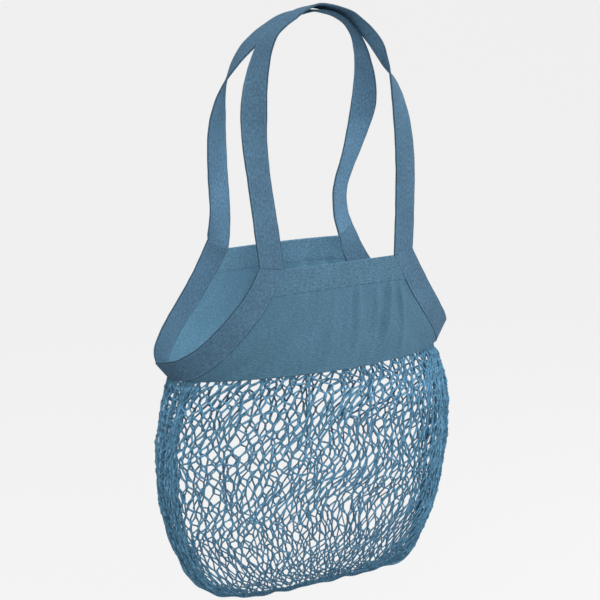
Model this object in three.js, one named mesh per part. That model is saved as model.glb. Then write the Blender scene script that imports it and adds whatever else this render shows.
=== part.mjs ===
// A string shopping bag, hanging from its two long handles: a cotton yoke, a tape that binds the
// yoke's edges and runs on as the handles, and a coarse net pouch with a sewn bottom seam.
// Millimetres, +Z up. The origin is where the bag hangs, under the top of both handle arches.
// The front faces -Y, and +X is on the right as seen from the front.
import * as THREE from "three";

// The folded tape of the handles and the binding
const TAPE_WIDTH = 28;
const TAPE_THICKNESS = 2;
const HANDLE_DROP = 259; // hang point down to the mouth's edge
const FOOT_SPREAD = 82; // bag's middle to the middle of a handle's foot

// The cotton yoke
const CLOTH_THICKNESS = 1.1;
const MOUTH_HALF_DEPTH = 60; // bag's middle plane to the handles' feet
const YOKE_DEPTH = 125; // mouth's edge down to the lowest point of the side corners
const YOKE_HALF_DEPTH = 79; // how far the yoke's lower edge bulges out
const YOKE_HEM_RISE = 11; // the yoke's lower edge in front, above the side corners
const REACH_LEFT = 98; // handle's foot out to the side corner
const REACH_RIGHT = 81.5;
const BAND_DEPTH = 27; // folded hem band along the mouth's edge
const BAND_THICKNESS = 2;
const YOKE_FOLD_HEIGHT = 1.6;
const YOKE_FOLDS = 7;
const YOKE_END = 0.95; // share of the binding that a yoke follows, short of the side corner

// The net pouch
const NET_THICKNESS = 2.2;
const NET_DEPTH = 263; // side corners down to the bottom seam
const NET_CORNER_RISE = 1.8; // the net's side corners above the yoke's full depth, under the binding
const NET_HALF_DEPTH = 78;
const NET_OVERHANG = 4.2; // how far the net bags out past the yoke's side corners
const NET_LEFT = FOOT_SPREAD + REACH_LEFT + NET_OVERHANG; // widest reach to either side
const NET_RIGHT = FOOT_SPREAD + REACH_RIGHT + NET_OVERHANG;
const NET_COLUMNS = 16;
const NET_ROWS = 7;
const NET_OPENING = 0.72; // how much of each mesh is open, across
const NET_ROUNDING = 1.12; // how far the middle of a mesh's edge bows out
const NET_RIGHT_LIFT = 0.4; // how far the rings' right ends rise, a share of what their left ends do

// The sewn roll along the net's bottom
const SEAM_HEIGHT = 4;
const SEAM_THICKNESS = 3.2;

const GAP = 0.3; // between neighbouring pieces
const SEAM_GAP = 0.8; // between the cloth's side edges and the tape that binds them

// How finely the pieces are faceted
const HANDLE_STEPS = 56;
const BINDING_STEPS = 18;
const CLOTH_STEPS = 28;
const BAND_ROWS = 4;
const YOKE_ROWS = 8;
const SEAM_STEPS = 24;
const SEAM_SIDES = 8;

const COLOURS = { tape: 0x54809c, cloth: 0x547f9a, net: 0x4a7896 };

// One handle from its left foot over the arch to its right foot. along is the share of its length,
// across the share of FOOT_SPREAD, rise the share of HANDLE_DROP, turn the tape's direction in
// degrees, 0 along +X, and tip how far it rises that way.
const FRONT_HANDLE = [
  { along: 0.0, across: -1.0, rise: 0.0, turn: -10, tip: 0 },
  { along: 0.07, across: -1.035, rise: 0.176, turn: -3, tip: 2 },
  { along: 0.14, across: -1.073, rise: 0.357, turn: 1, tip: 3 },
  { along: 0.21, across: -1.081, rise: 0.54, turn: -14, tip: 3 },
  { along: 0.28, across: -0.995, rise: 0.724, turn: -55, tip: 5 },
  { along: 0.35, across: -0.765, rise: 0.892, turn: -79, tip: 8 },
  { along: 0.42, across: -0.361, rise: 0.976, turn: -81, tip: 5 },
  { along: 0.46, across: -0.16, rise: 0.999, turn: -82, tip: 9 },
  { along: 0.5, across: 0.062, rise: 1.013, turn: -88, tip: 11 },
  { along: 0.54, across: 0.301, rise: 0.999, turn: -93, tip: 13 },
  { along: 0.58, across: 0.543, rise: 0.966, turn: -95, tip: 14 },
  { along: 0.64, across: 0.842, rise: 0.866, turn: -92, tip: 14 },
  { along: 0.685, across: 0.978, rise: 0.772, turn: -108, tip: 9 },
  { along: 0.73, across: 1.084, rise: 0.68, turn: -138, tip: 2 },
  { along: 0.79, across: 1.144, rise: 0.535, turn: -161, tip: 1 },
  { along: 0.86, across: 1.14, rise: 0.36, turn: -170, tip: 2 },
  { along: 0.93, across: 1.078, rise: 0.179, turn: -170, tip: 3 },
  { along: 1.0, across: 1.0, rise: 0.0, turn: -170, tip: 0 },
];
const BACK_HANDLE = [
  { along: 0.0, across: -1.0, rise: 0.0, turn: -4, tip: 0 },
  { along: 0.07, across: -1.016, rise: 0.155, turn: 10, tip: 5 },
  { along: 0.14, across: -1.1, rise: 0.345, turn: 13, tip: 7 },
  { along: 0.21, across: -1.149, rise: 0.535, turn: 22, tip: 5 },
  { along: 0.28, across: -1.09, rise: 0.707, turn: 53, tip: 5 },
  { along: 0.35, across: -0.82, rise: 0.857, turn: 82, tip: 8 },
  { along: 0.42, across: -0.34, rise: 0.974, turn: 86, tip: 4 },
  { along: 0.46, across: 0.0, rise: 1.001, turn: 86, tip: -3 },
  { along: 0.5, across: 0.315, rise: 0.986, turn: 86, tip: -3 },
  { along: 0.54, across: 0.588, rise: 0.937, turn: 85, tip: 6 },
  { along: 0.58, across: 0.79, rise: 0.866, turn: 90, tip: 10 },
  { along: 0.64, across: 0.95, rise: 0.755, turn: 105, tip: 10 },
  { along: 0.71, across: 1.04, rise: 0.65, turn: 127, tip: 9 },
  { along: 0.78, across: 1.065, rise: 0.54, turn: 160, tip: 7 },
  { along: 0.85, across: 0.98, rise: 0.38, turn: 192, tip: 6 },
  { along: 0.92, across: 0.85, rise: 0.205, turn: 204, tip: 2 },
  { along: 0.97, across: 0.9, rise: 0.08, turn: 205, tip: 0 },
  { along: 1.0, across: 1.0, rise: 0.0, turn: 203, tip: 0 },
];
const HANDLE_SPREAD = 0.85; // how fast the two handles part below the arch, a power of the distance
const HANDLE_CREST = 0.06; // share of a handle's half that runs level over the arch

// How the tape stands at each foot: its direction in degrees from square across, which dies away
// along the binding, and how far its free edge tilts up.
const FEET = {
  front: { left: { twist: 0, tilt: 8 }, right: { twist: 0, tilt: 8 } },
  back: { left: { twist: -14, tilt: 26 }, right: { twist: -33, tilt: 26 } },
};

// The binding's middle line from a handle's foot to the side corner, where it turns back along the
// other face. out is the share of REACH, deep the share of MOUTH_HALF_DEPTH, down the share of
// YOKE_DEPTH, face how far the tape faces sideways in degrees, and flare how far its free edge leans out.
const BINDING = [
  { along: 0.0, out: 0.0, deep: 1.0, down: 0.0, face: 10, flare: 0 },
  { along: 0.15, out: 0.13, deep: 1.03, down: 0.17, face: 12, flare: 0 },
  { along: 0.3, out: 0.29, deep: 1.01, down: 0.34, face: 18, flare: 2 },
  { along: 0.5, out: 0.53, deep: 0.92, down: 0.55, face: 28, flare: 6 },
  { along: 0.67, out: 0.73, deep: 0.76, down: 0.71, face: 40, flare: 14 },
  { along: 0.83, out: 0.9, deep: 0.46, down: 0.83, face: 62, flare: 27 },
  { along: 1.0, out: 1.0, deep: 0.0, down: 0.885, face: 90, flare: 40 },
];

// How far the yoke bows out at its middle, a share of YOKE_HALF_DEPTH, from the mouth's edge down.
const YOKE = [
  { along: 0.0, bulge: 0.8 },
  { along: 0.25, bulge: 0.86 },
  { along: 0.5, bulge: 0.92 },
  { along: 0.75, bulge: 0.97 },
  { along: 1.0, bulge: 1.0 },
];

// The net's rings from the yoke down to the bottom seam. down is the share of NET_DEPTH, left and
// right the shares of its reach to either side, deep the share of NET_HALF_DEPTH, square its corners'
// fullness, and lift how far the ring's ends rise, as a share of NET_DEPTH.
const NET = [
  { along: 0.0, down: 0.0, left: 0.925, right: 0.93, deep: 1.0, square: 2.0, lift: 0.0 },
  { along: 0.12, down: 0.12, left: 0.965, right: 0.975, deep: 1.02, square: 2.2, lift: 0.0 },
  { along: 0.3, down: 0.3, left: 1.005, right: 1.005, deep: 1.02, square: 2.4, lift: 0.0 },
  { along: 0.5, down: 0.51, left: 0.985, right: 0.99, deep: 0.94, square: 2.4, lift: 0.0 },
  { along: 0.68, down: 0.7, left: 0.92, right: 0.955, deep: 0.78, square: 2.3, lift: 0.01 },
  { along: 0.84, down: 0.87, left: 0.825, right: 0.865, deep: 0.52, square: 2.2, lift: 0.03 },
  { along: 0.94, down: 0.96, left: 0.73, right: 0.82, deep: 0.27, square: 2.1, lift: 0.045 },
  { along: 1.0, down: 1.0, left: 0.64, right: 0.78, deep: 0.05, square: 2.0, lift: 0.05 },
];

// A table's column at a place along it, on a smooth curve through the rows.
function read(table, key, at) {
  let row = 0;
  while (row < table.length - 2 && at > table[row + 1].along) row++;
  const slope = (i) => {
    const before = table[Math.max(i - 1, 0)];
    const after = table[Math.min(i + 1, table.length - 1)];
    return (after[key] - before[key]) / (after.along - before.along);
  };
  const step = table[row + 1].along - table[row].along;
  const t = (at - table[row].along) / step;
  return (
    (1 + 2 * t) * (1 - t) ** 2 * table[row][key] +
    t * (1 - t) ** 2 * step * slope(row) +
    t * t * (3 - 2 * t) * table[row + 1][key] +
    t * t * (t - 1) * step * slope(row + 1)
  );
}

const lerp = THREE.MathUtils.lerp;
const radians = THREE.MathUtils.degToRad;
const shares = (count) => Array.from({ length: count + 1 }, (_, i) => i / count);

// Faces of a closed mesh, turned so that they point outwards.
function solid(points, faces) {
  const volume = faces.reduce(
    (sum, [a, b, c]) => sum + points[a].dot(points[b].clone().cross(points[c])),
    0,
  );
  const turned = volume < 0 ? faces.map(([a, b, c]) => [a, c, b]) : faces;
  const geometry = new THREE.BufferGeometry().setFromPoints(points);
  geometry.setIndex(turned.flat());
  geometry.computeVertexNormals();
  return geometry;
}

// Unit normals of a grid of points, from the steps to each point's neighbours.
function gridNormals(grid) {
  const last = grid.length - 1;
  return grid.map((row, i) =>
    row.map((_, j) => {
      const end = row.length - 1;
      const down = grid[Math.min(i + 1, last)][j].clone().sub(grid[Math.max(i - 1, 0)][j]);
      const over = row[Math.min(j + 1, end)].clone().sub(row[Math.max(j - 1, 0)]);
      return down.cross(over).normalize();
    }),
  );
}

// A cloth wall of even thickness on both sides of a grid of points.
function clothWall(grid, normals, thickness) {
  const rows = grid.length;
  const width = grid[0].length;
  const points = [];
  for (const side of [0.5, -0.5])
    grid.forEach((row, i) =>
      row.forEach((p, j) => points.push(p.clone().addScaledVector(normals[i][j], side * thickness))),
    );
  const at = (i, j, side) => side * rows * width + i * width + j;
  const faces = [];
  const quad = (a, b, c, d) => faces.push([a, b, c], [a, c, d]);
  for (let i = 0; i < rows - 1; i++)
    for (let j = 0; j < width - 1; j++) {
      quad(at(i, j, 0), at(i + 1, j, 0), at(i + 1, j + 1, 0), at(i, j + 1, 0));
      quad(at(i, j, 1), at(i, j + 1, 1), at(i + 1, j + 1, 1), at(i + 1, j, 1));
    }
  for (let i = 0; i < rows - 1; i++) {
    quad(at(i, 0, 0), at(i, 0, 1), at(i + 1, 0, 1), at(i + 1, 0, 0));
    quad(at(i, width - 1, 0), at(i + 1, width - 1, 0), at(i + 1, width - 1, 1), at(i, width - 1, 1));
  }
  for (let j = 0; j < width - 1; j++) {
    quad(at(0, j, 0), at(0, j + 1, 0), at(0, j + 1, 1), at(0, j, 1));
    quad(at(rows - 1, j, 0), at(rows - 1, j, 1), at(rows - 1, j + 1, 1), at(rows - 1, j + 1, 0));
  }
  return solid(points, faces);
}

// A length of tape: each station holds its middle and its direction across. At both ends the tape's
// faces stand upright, so that neighbouring ends lie square to each other.
function tape(stations) {
  const across = [-0.5, 0, 0.5];
  const grid = stations.map(({ middle, over }) =>
    across.map((share) => middle.clone().addScaledVector(over, share * TAPE_WIDTH)),
  );
  const normals = gridNormals(grid);
  for (const row of [normals[0], normals[normals.length - 1]])
    row.forEach((normal) => normal.setZ(0).normalize());
  return clothWall(grid, normals, TAPE_THICKNESS);
}

// How the tape stands at one foot. hand is -1 on the left and 1 on the right, face -1 in front and 1
// at the back.
function foot(hand, face) {
  return FEET[face < 0 ? "front" : "back"][hand < 0 ? "left" : "right"];
}

// How far a foot's middle stands above the mouth's edge, so that its inner corner meets the edge.
function footRise(hand, face) {
  return (Math.sin(radians(foot(hand, face).tilt)) * TAPE_WIDTH) / 2;
}

// The share of the way from the arch's top out to the mouth's edge, smooth over the crest.
function handleLean(low) {
  const spread = (value) => (value ** 2 + HANDLE_CREST ** 2) ** (HANDLE_SPREAD / 2);
  return (spread(low) - spread(0)) / (spread(1) - spread(0));
}

// The stations of one handle. The front one passes over the back one at the top.
function handleStations(table, face) {
  const layer = face < 0 ? 1.5 * TAPE_THICKNESS + GAP : TAPE_THICKNESS / 2;
  return shares(HANDLE_STEPS).map((along) => {
    const turn = radians(read(table, "turn", along));
    const low = Math.abs(2 * along - 1);
    const hand = along < 0.5 ? -1 : 1;
    const middle = new THREE.Vector3(
      read(table, "across", along) * FOOT_SPREAD,
      face * handleLean(low) * MOUTH_HALF_DEPTH,
      lerp(GAP / 2 - HANDLE_DROP + footRise(hand, face), layer, read(table, "rise", along)),
    );
    const outward = Math.cos(turn) * hand < 0 ? -1 : 1;
    const tilt = outward * foot(hand, face).tilt * Math.max(0, 8 * low - 7) ** 2;
    const rise = radians(read(table, "tip", along) + tilt);
    const flat = Math.cos(rise);
    const over = new THREE.Vector3(Math.cos(turn) * flat, Math.sin(turn) * flat, Math.sin(rise));
    return { middle, over };
  });
}

// One of the binding's stations on one side, at a share of the way from a handle's foot to the side
// corner. over points to the free edge.
function bindingStation(hand, face, along) {
  const reach = hand < 0 ? REACH_LEFT : REACH_RIGHT;
  const point = (at) =>
    new THREE.Vector3(
      hand * (FOOT_SPREAD + read(BINDING, "out", at) * reach),
      face * read(BINDING, "deep", at) * MOUTH_HALF_DEPTH,
      footRise(hand, face) * (1 - at) ** 4 - HANDLE_DROP - GAP / 2 - read(BINDING, "down", at) * YOKE_DEPTH,
    );
  const step = 0.01;
  const forward = point(Math.min(along + step, 1)).sub(point(Math.max(along - step, 0)));
  if (along === 1) forward.set(0, -face, 0);
  forward.normalize();
  const { twist, tilt } = foot(hand, face);
  const fade = (1 - along) ** 4;
  const sideways = radians(read(BINDING, "face", along) + twist * fade);
  const outward = new THREE.Vector3(hand * Math.sin(sideways), face * Math.cos(sideways), 0);
  const level = new THREE.Vector3(hand * Math.cos(sideways), -face * Math.sin(sideways), 0);
  const over = forward.clone().cross(outward).normalize();
  if (over.x * hand + over.z < 0) over.negate();
  const start = level.multiplyScalar(Math.cos(radians(tilt))).setZ(Math.sin(radians(tilt)));
  over.lerp(start, fade).normalize();
  const flare = radians(read(BINDING, "flare", along));
  const facing = over.clone().cross(forward).normalize();
  if (facing.dot(outward) < 0) facing.negate();
  over.multiplyScalar(Math.cos(flare)).addScaledVector(facing, Math.sin(flare));
  return { middle: point(along), over };
}

function bindingStations(hand) {
  const front = shares(BINDING_STEPS).map((along) => bindingStation(hand, -1, along));
  const back = shares(BINDING_STEPS).map((along) => bindingStation(hand, 1, along));
  return [...front, ...back.slice(0, -1).reverse()];
}

// Where the yoke's side edge meets the binding, at a share of the binding's length.
function seamPoint(hand, face, along) {
  const { middle, over } = bindingStation(hand, face, along);
  return middle.addScaledVector(over, -TAPE_WIDTH / 2 - SEAM_GAP);
}

// The same edge at a share of its height, found by halving the stretch that holds it.
function yokeSide(hand, face, height) {
  const top = seamPoint(hand, face, 0).z;
  const wanted = lerp(top, seamPoint(hand, face, YOKE_END).z, height);
  let [above, below] = [0, YOKE_END];
  for (let i = 0; i < 24; i++) {
    const middle = (above + below) / 2;
    if (seamPoint(hand, face, middle).z > wanted) above = middle;
    else below = middle;
  }
  return seamPoint(hand, face, (above + below) / 2);
}

// A point of the yoke: across from 0 at the left binding to 1 at the right one, height from 0 at the
// mouth's edge to 1 at the lower edge. Each level is a stretch of an ellipse through the two side
// edges, which falls in soft folds further down.
function yokePoint(face, across, height) {
  const left = yokeSide(-1, face, height);
  const right = yokeSide(1, face, height);
  const bulge = read(YOKE, "bulge", height) * YOKE_HALF_DEPTH;
  const edge = Math.abs(lerp(left.y, right.y, across)) / bulge;
  const apart = (2 * across - 1) ** 2;
  const bow = Math.sqrt(1 - (1 - edge ** 2) * apart);
  const level = -HANDLE_DROP - GAP / 2 - height * (YOKE_DEPTH - YOKE_HEM_RISE);
  const wave = Math.cos(across * YOKE_FOLDS * 2 * Math.PI);
  const fold = wave * YOKE_FOLD_HEIGHT * height ** 2 * (1 - apart);
  return new THREE.Vector3(
    lerp(left.x, right.x, across),
    face * (bulge * bow + fold),
    lerp(level, lerp(left.z, right.z, across), apart ** 2),
  );
}

// A strip of the yoke's form between two heights.
function yokeStrip(face, from, to, rows, thickness) {
  const grid = shares(rows).map((row) =>
    shares(CLOTH_STEPS).map((column) => {
      const across = (1 - Math.cos(column * Math.PI)) / 2;
      return yokePoint(face, across, lerp(from, to, row));
    }),
  );
  return clothWall(grid, gridNormals(grid), thickness);
}

// A point of the net: around from 0 at the left corner, through 0.25 in front and 0.5 at the right
// corner, and back; along from 0 at the yoke to 1 at the bottom seam.
function netPoint(around, along) {
  const angle = around * 2 * Math.PI;
  const power = 2 / read(NET, "square", along);
  const squared = (value) => Math.sign(value) * Math.abs(value) ** power;
  const across = -squared(Math.cos(angle));
  const left = NET_LEFT * read(NET, "left", along);
  const right = NET_RIGHT * read(NET, "right", along);
  const front = squared(Math.sin(angle));
  const corner = -HANDLE_DROP - YOKE_DEPTH + NET_CORNER_RISE;
  const hem = lerp(YOKE_HEM_RISE - NET_CORNER_RISE - 1.5 * GAP, 0, across ** 4) * (1 - along) ** 2;
  const lift = read(NET, "lift", along) * (across < 0 ? 1 : NET_RIGHT_LIFT);
  return new THREE.Vector3(
    across * (across < 0 ? left : right),
    -front * NET_HALF_DEPTH * read(NET, "deep", along),
    corner + hem - NET_DEPTH * (read(NET, "down", along) - lift * across ** 4),
  );
}

// The pouch as a coarse net: diamond meshes in staggered rows, each with a rounded hole cut through
// the wall, a plain strip along its upper edge, and its front and back joined along the bottom.
function netGeometry() {
  const points = [];
  const found = new Map();
  const step = 1e-3;
  const halfRows = NET_ROWS + 1;
  // A pair of wall points, outer then inner, at a place of the lattice; returns the outer one's index.
  const wall = (column, row) => {
    const place = THREE.MathUtils.euclideanModulo(column, NET_COLUMNS);
    const around = place / NET_COLUMNS;
    const along = row / halfRows;
    const key = `${place.toFixed(4)} ${row.toFixed(4)}`;
    if (!found.has(key)) {
      found.set(key, points.length);
      const p = netPoint(around, along);
      const over = netPoint(around + step, along).sub(netPoint(around - step, along));
      const down = netPoint(around, Math.min(along + step, 1)).sub(
        netPoint(around, Math.max(along - step, 0)),
      );
      const normal = over.cross(down).normalize();
      if (along === 0) normal.setZ(0).normalize();
      if (along === 1) normal.set(0, normal.y, -1).normalize();
      if (along === 1 && around % 0.5 === 0) normal.set(around > 0 ? 0.5 : -0.5, 0, -1).normalize();
      for (const side of [0.5, -0.5])
        points.push(p.clone().addScaledVector(normal, side * NET_THICKNESS));
    }
    return found.get(key);
  };
  const faces = [];
  // The same face on the outer wall and, turned round, on the inner wall.
  const both = (...loop) => {
    for (let i = 1; i < loop.length - 1; i++) {
      faces.push([loop[0], loop[i], loop[i + 1]]);
      faces.push([loop[0] + 1, loop[i + 1] + 1, loop[i] + 1]);
    }
  };
  const rim = (a, b) => faces.push([a, b, b + 1], [a, b + 1, a + 1]);

  // A mesh's outline and hole share their corner angles, so a ring of quads lies between them.
  const right = [[0, -1], [0.25, -0.5], [0.5, 0], [0.25, 0.5]];
  const outline = [...right, ...right.map(([x, y]) => [-x, -y])];
  for (let row = 1; row <= NET_ROWS; row++)
    for (let i = 0; i < NET_COLUMNS; i++) {
      const column = i + (row % 2 ? 0.5 : 0);
      const outer = outline.map(([x, y]) => wall(column + x, row + y));
      const hole = outline.map(([x, y], k) => {
        const open = NET_OPENING * (k % 2 ? NET_ROUNDING : 1);
        return wall(column + x * open, row + y * open);
      });
      outline.forEach((_, k) => {
        const next = (k + 1) % outline.length;
        both(outer[k], hole[k], hole[next], outer[next]);
        rim(hole[next], hole[k]);
      });
    }

  // Half meshes along the upper edge and the bottom are left whole.
  for (const [row, way] of [[0, 1], [halfRows, -1]]) {
    const offset = row % 2 ? 0 : 0.5;
    for (let i = 0; i < NET_COLUMNS; i++) {
      const column = i + offset;
      const middle = wall(column + 0.5, row);
      const loop = [0, 0.25, 0.5, 0.75, 1].map((x) =>
        wall(column + x, row + way * (1 - Math.abs(2 * x - 1))),
      );
      both(middle, ...(way > 0 ? loop : loop.toReversed()));
      if (way > 0) {
        rim(loop[0], middle);
        rim(middle, loop[4]);
      }
    }
  }

  // The bottom: each front point joins the back point that mirrors it.
  const half = NET_COLUMNS / 2;
  for (let k = 0; k < half; k += 0.5) {
    const loop = [k + 0.5, k, -k, -k - 0.5].map((column) => wall(column, halfRows));
    both(...loop.filter((point, i) => loop.indexOf(point) === i));
  }
  return solid(points, faces);
}

// The sewn roll under the net's bottom, a flattened bar that follows the bottom's curve and narrows
// at its two ends.
function bottomSeam() {
  const middles = shares(SEAM_STEPS).map((share) => {
    const p = netPoint(lerp(0.02, 0.48, share), 1);
    return new THREE.Vector3(p.x, 0, p.z - (NET_THICKNESS + SEAM_HEIGHT) / 2 - GAP);
  });
  const points = middles.flatMap((middle, i) => {
    const before = middles[Math.max(i - 1, 0)];
    const after = middles[Math.min(i + 1, SEAM_STEPS)];
    const forward = after.clone().sub(before).normalize();
    const up = new THREE.Vector3(-forward.z, 0, forward.x);
    const half = i === 0 || i === SEAM_STEPS ? 0.2 : 0.5;
    return shares(SEAM_SIDES)
      .slice(0, -1)
      .map((turn) => {
        const angle = turn * 2 * Math.PI;
        const p = middle.clone().addScaledVector(up, half * SEAM_HEIGHT * Math.cos(angle));
        return p.setY(half * SEAM_THICKNESS * Math.sin(angle));
      });
  });
  const faces = [];
  for (let i = 0; i < SEAM_STEPS; i++)
    for (let k = 0; k < SEAM_SIDES; k++) {
      const a = i * SEAM_SIDES + k;
      const b = i * SEAM_SIDES + ((k + 1) % SEAM_SIDES);
      faces.push([a, a + SEAM_SIDES, b + SEAM_SIDES], [a, b + SEAM_SIDES, b]);
    }
  const end = SEAM_STEPS * SEAM_SIDES;
  for (let k = 1; k < SEAM_SIDES - 1; k++) faces.push([0, k, k + 1], [end, end + k + 1, end + k]);
  return solid(points, faces);
}

const bag = new THREE.Group();

function add(name, geometry, colour, roughness) {
  const material = new THREE.MeshStandardMaterial({ color: colour, roughness, metalness: 0 });
  const mesh = new THREE.Mesh(geometry, material);
  mesh.name = name;
  bag.add(mesh);
}

const yokeHeight = YOKE_DEPTH - YOKE_HEM_RISE;
const bandEnd = BAND_DEPTH / yokeHeight;
const yokeStart = bandEnd + GAP / yokeHeight;

add("handle_front", tape(handleStations(FRONT_HANDLE, -1)), COLOURS.tape, 0.9);
add("handle_back", tape(handleStations(BACK_HANDLE, 1)), COLOURS.tape, 0.9);
add("binding_left", tape(bindingStations(-1)), COLOURS.tape, 0.9);
add("binding_right", tape(bindingStations(1)), COLOURS.tape, 0.9);
for (const [name, face] of [["front", -1], ["back", 1]]) {
  const band = yokeStrip(face, 0, bandEnd, BAND_ROWS, BAND_THICKNESS);
  const yoke = yokeStrip(face, yokeStart, 1, YOKE_ROWS, CLOTH_THICKNESS);
  add(`hem_band_${name}`, band, COLOURS.cloth, 0.95);
  add(`yoke_${name}`, yoke, COLOURS.cloth, 0.95);
}
add("net_pouch", netGeometry(), COLOURS.net, 0.95);
add("bottom_seam", bottomSeam(), COLOURS.net, 0.95);

export default bag;
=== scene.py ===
"""A string shopping bag on its two long handles: woven tapes, a cotton yoke and a knotted net pouch."""

from __future__ import annotations

import logging
from collections.abc import Iterable
from dataclasses import dataclass, field, replace
from enum import Enum

import bpy
import numpy as np
from bpy.types import ID, Material, Node, NodeSocket, Object
from mathutils import Matrix, Vector
from numpy.typing import NDArray


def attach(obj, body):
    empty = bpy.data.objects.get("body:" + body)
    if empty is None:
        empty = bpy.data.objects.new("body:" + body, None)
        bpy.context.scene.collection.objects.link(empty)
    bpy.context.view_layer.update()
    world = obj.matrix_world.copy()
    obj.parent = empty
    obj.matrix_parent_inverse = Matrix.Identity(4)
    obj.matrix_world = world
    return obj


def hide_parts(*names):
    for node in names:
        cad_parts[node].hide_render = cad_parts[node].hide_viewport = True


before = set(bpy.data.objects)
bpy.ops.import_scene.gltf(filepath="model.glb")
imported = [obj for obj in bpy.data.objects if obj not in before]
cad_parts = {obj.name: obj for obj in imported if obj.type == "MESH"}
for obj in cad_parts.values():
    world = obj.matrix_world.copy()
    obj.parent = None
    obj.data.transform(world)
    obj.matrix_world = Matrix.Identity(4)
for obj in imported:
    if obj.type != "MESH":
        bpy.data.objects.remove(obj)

Grid = NDArray[np.float64]
Stops = list[tuple[float, tuple[float, ...]]]
log = logging.getLogger("bag")

MM = 0.001
TURN = 2 * np.pi
BOTH = (-1.0, 1.0)
SQUARE_TO_NET = np.array([0.0, 1.0, 0.0])  # square to the plane that the net hangs in
BODY = "root"


class Slot(Enum):
    """The record's material slots."""

    TAPE = "tape"
    CLOTH = "cloth"
    NET = "net"


class Hand(Enum):
    """The bag's left or right side, as seen from the front."""

    LEFT = -1
    RIGHT = 1


class Face(Enum):
    """The bag's front or back."""

    FRONT = -1
    BACK = 1


# Small vector helpers


def lerp(a: Grid | float, b: Grid | float, share: Grid | float) -> Grid:
    """Between a and b at that share of the way."""
    return a + (b - a) * share


def unit(vectors: Grid) -> Grid:
    """The vectors at length one."""
    return vectors / np.maximum(np.linalg.norm(vectors, axis=-1, keepdims=True), 1e-12)


def stack(x: Grid, y: Grid, z: Grid) -> Grid:
    """Points from three coordinates of one shape."""
    return np.stack(np.broadcast_arrays(x, y, z), axis=-1)


def travelled(line: Grid) -> Grid:
    """The length run so far at each point of lines of shape (..., stations, 3)."""
    steps = np.linalg.norm(np.diff(line, axis=-2), axis=-1)
    return np.concatenate([np.zeros(steps.shape[:-1] + (1,)), np.cumsum(steps, axis=-1)], axis=-1)


def smooth(share: Grid) -> Grid:
    """An ease in and out from 0 to 1: 3 t squared minus 2 t cubed."""
    t = np.clip(share, 0, 1)
    return t * t * (3 - 2 * t)


def bell(off: Grid, width: float) -> Grid:
    """A bump that fades on both sides: e to the minus square of off over width."""
    return np.exp(-((off / width) ** 2))


def ripple(at: Grid, length: float = 1.0, phase: Grid | float = 0.0) -> Grid:
    """A sine wave of that length, with its phase in radians."""
    return np.sin(TURN * at / length + phase)


def turned(vectors: Grid, score: Grid) -> Grid:
    """The vectors, pointed the other way where the score is negative."""
    return vectors * np.where(score < 0, -1.0, 1.0)[..., None]


def at_run(at: Grid | float, run: Grid, line: Grid) -> Grid:
    """The points of a line at those lengths of its run, on straight steps between its own."""
    return np.stack([np.interp(at, run, line[:, k]) for k in range(3)], axis=-1)


@dataclass(frozen=True)
class Table:
    """Rows of named shares along a piece; the first column is the place along it."""

    columns: tuple[str, ...]
    rows: tuple[tuple[float, ...], ...]

    def read(self, column: str, at: Grid | float) -> Grid:
        """One column at places along the piece.

        A cubic Hermite curve runs through the rows. Each row's slope is that between its neighbours.

        Args:
            column: The column's name.
            at: Places along the piece, from 0 to 1.

        Returns:
            The values, in the shape of at.
        """
        data = np.array(self.rows)
        along, value = data[:, 0], data[:, self.columns.index(column)]
        rows = np.arange(len(along))
        before, after = np.maximum(rows - 1, 0), np.minimum(rows + 1, len(along) - 1)
        slope = (value[after] - value[before]) / (along[after] - along[before])
        row = np.clip(np.searchsorted(along, at, side="left") - 1, 0, len(along) - 2)
        step = along[row + 1] - along[row]
        t = (at - along[row]) / step
        return (
            (1 + 2 * t) * (1 - t) ** 2 * value[row]
            + t * (1 - t) ** 2 * step * slope[row]
            + t * t * (3 - 2 * t) * value[row + 1]
            + t * t * (t - 1) * step * slope[row + 1]
        )


# The bag's form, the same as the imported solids


FRONT_HANDLE = Table(
    ("along", "across", "rise", "turn", "tip"),
    (
        (0.0, -1.0, 0.0, -10, 0), (0.07, -1.035, 0.176, -3, 2),
        (0.14, -1.073, 0.357, 1, 3), (0.21, -1.081, 0.54, -14, 3),
        (0.28, -0.995, 0.724, -55, 5), (0.35, -0.765, 0.892, -79, 8),
        (0.42, -0.361, 0.976, -81, 5), (0.46, -0.16, 0.999, -82, 9),
        (0.5, 0.062, 1.013, -88, 11), (0.54, 0.301, 0.999, -93, 13),
        (0.58, 0.543, 0.966, -95, 14), (0.64, 0.842, 0.866, -92, 14),
        (0.685, 0.978, 0.772, -108, 9), (0.73, 1.084, 0.68, -138, 2),
        (0.79, 1.144, 0.535, -161, 1), (0.86, 1.14, 0.36, -170, 2),
        (0.93, 1.078, 0.179, -170, 3), (1.0, 1.0, 0.0, -170, 0),
    ),
)
BACK_HANDLE = Table(
    ("along", "across", "rise", "turn", "tip"),
    (
        (0.0, -1.0, 0.0, -4, 0), (0.07, -1.016, 0.155, 10, 5),
        (0.14, -1.1, 0.345, 13, 7), (0.21, -1.149, 0.535, 22, 5),
        (0.28, -1.09, 0.707, 53, 5), (0.35, -0.82, 0.857, 82, 8),
        (0.42, -0.34, 0.974, 86, 4), (0.46, 0.0, 1.001, 86, -3),
        (0.5, 0.315, 0.986, 86, -3), (0.54, 0.588, 0.937, 85, 6),
        (0.58, 0.79, 0.866, 90, 10), (0.64, 0.95, 0.755, 105, 10),
        (0.71, 1.04, 0.65, 127, 9), (0.78, 1.065, 0.54, 160, 7),
        (0.85, 0.98, 0.38, 192, 6), (0.92, 0.85, 0.205, 204, 2),
        (0.97, 0.9, 0.08, 205, 0), (1.0, 1.0, 0.0, 203, 0),
    ),
)
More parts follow.
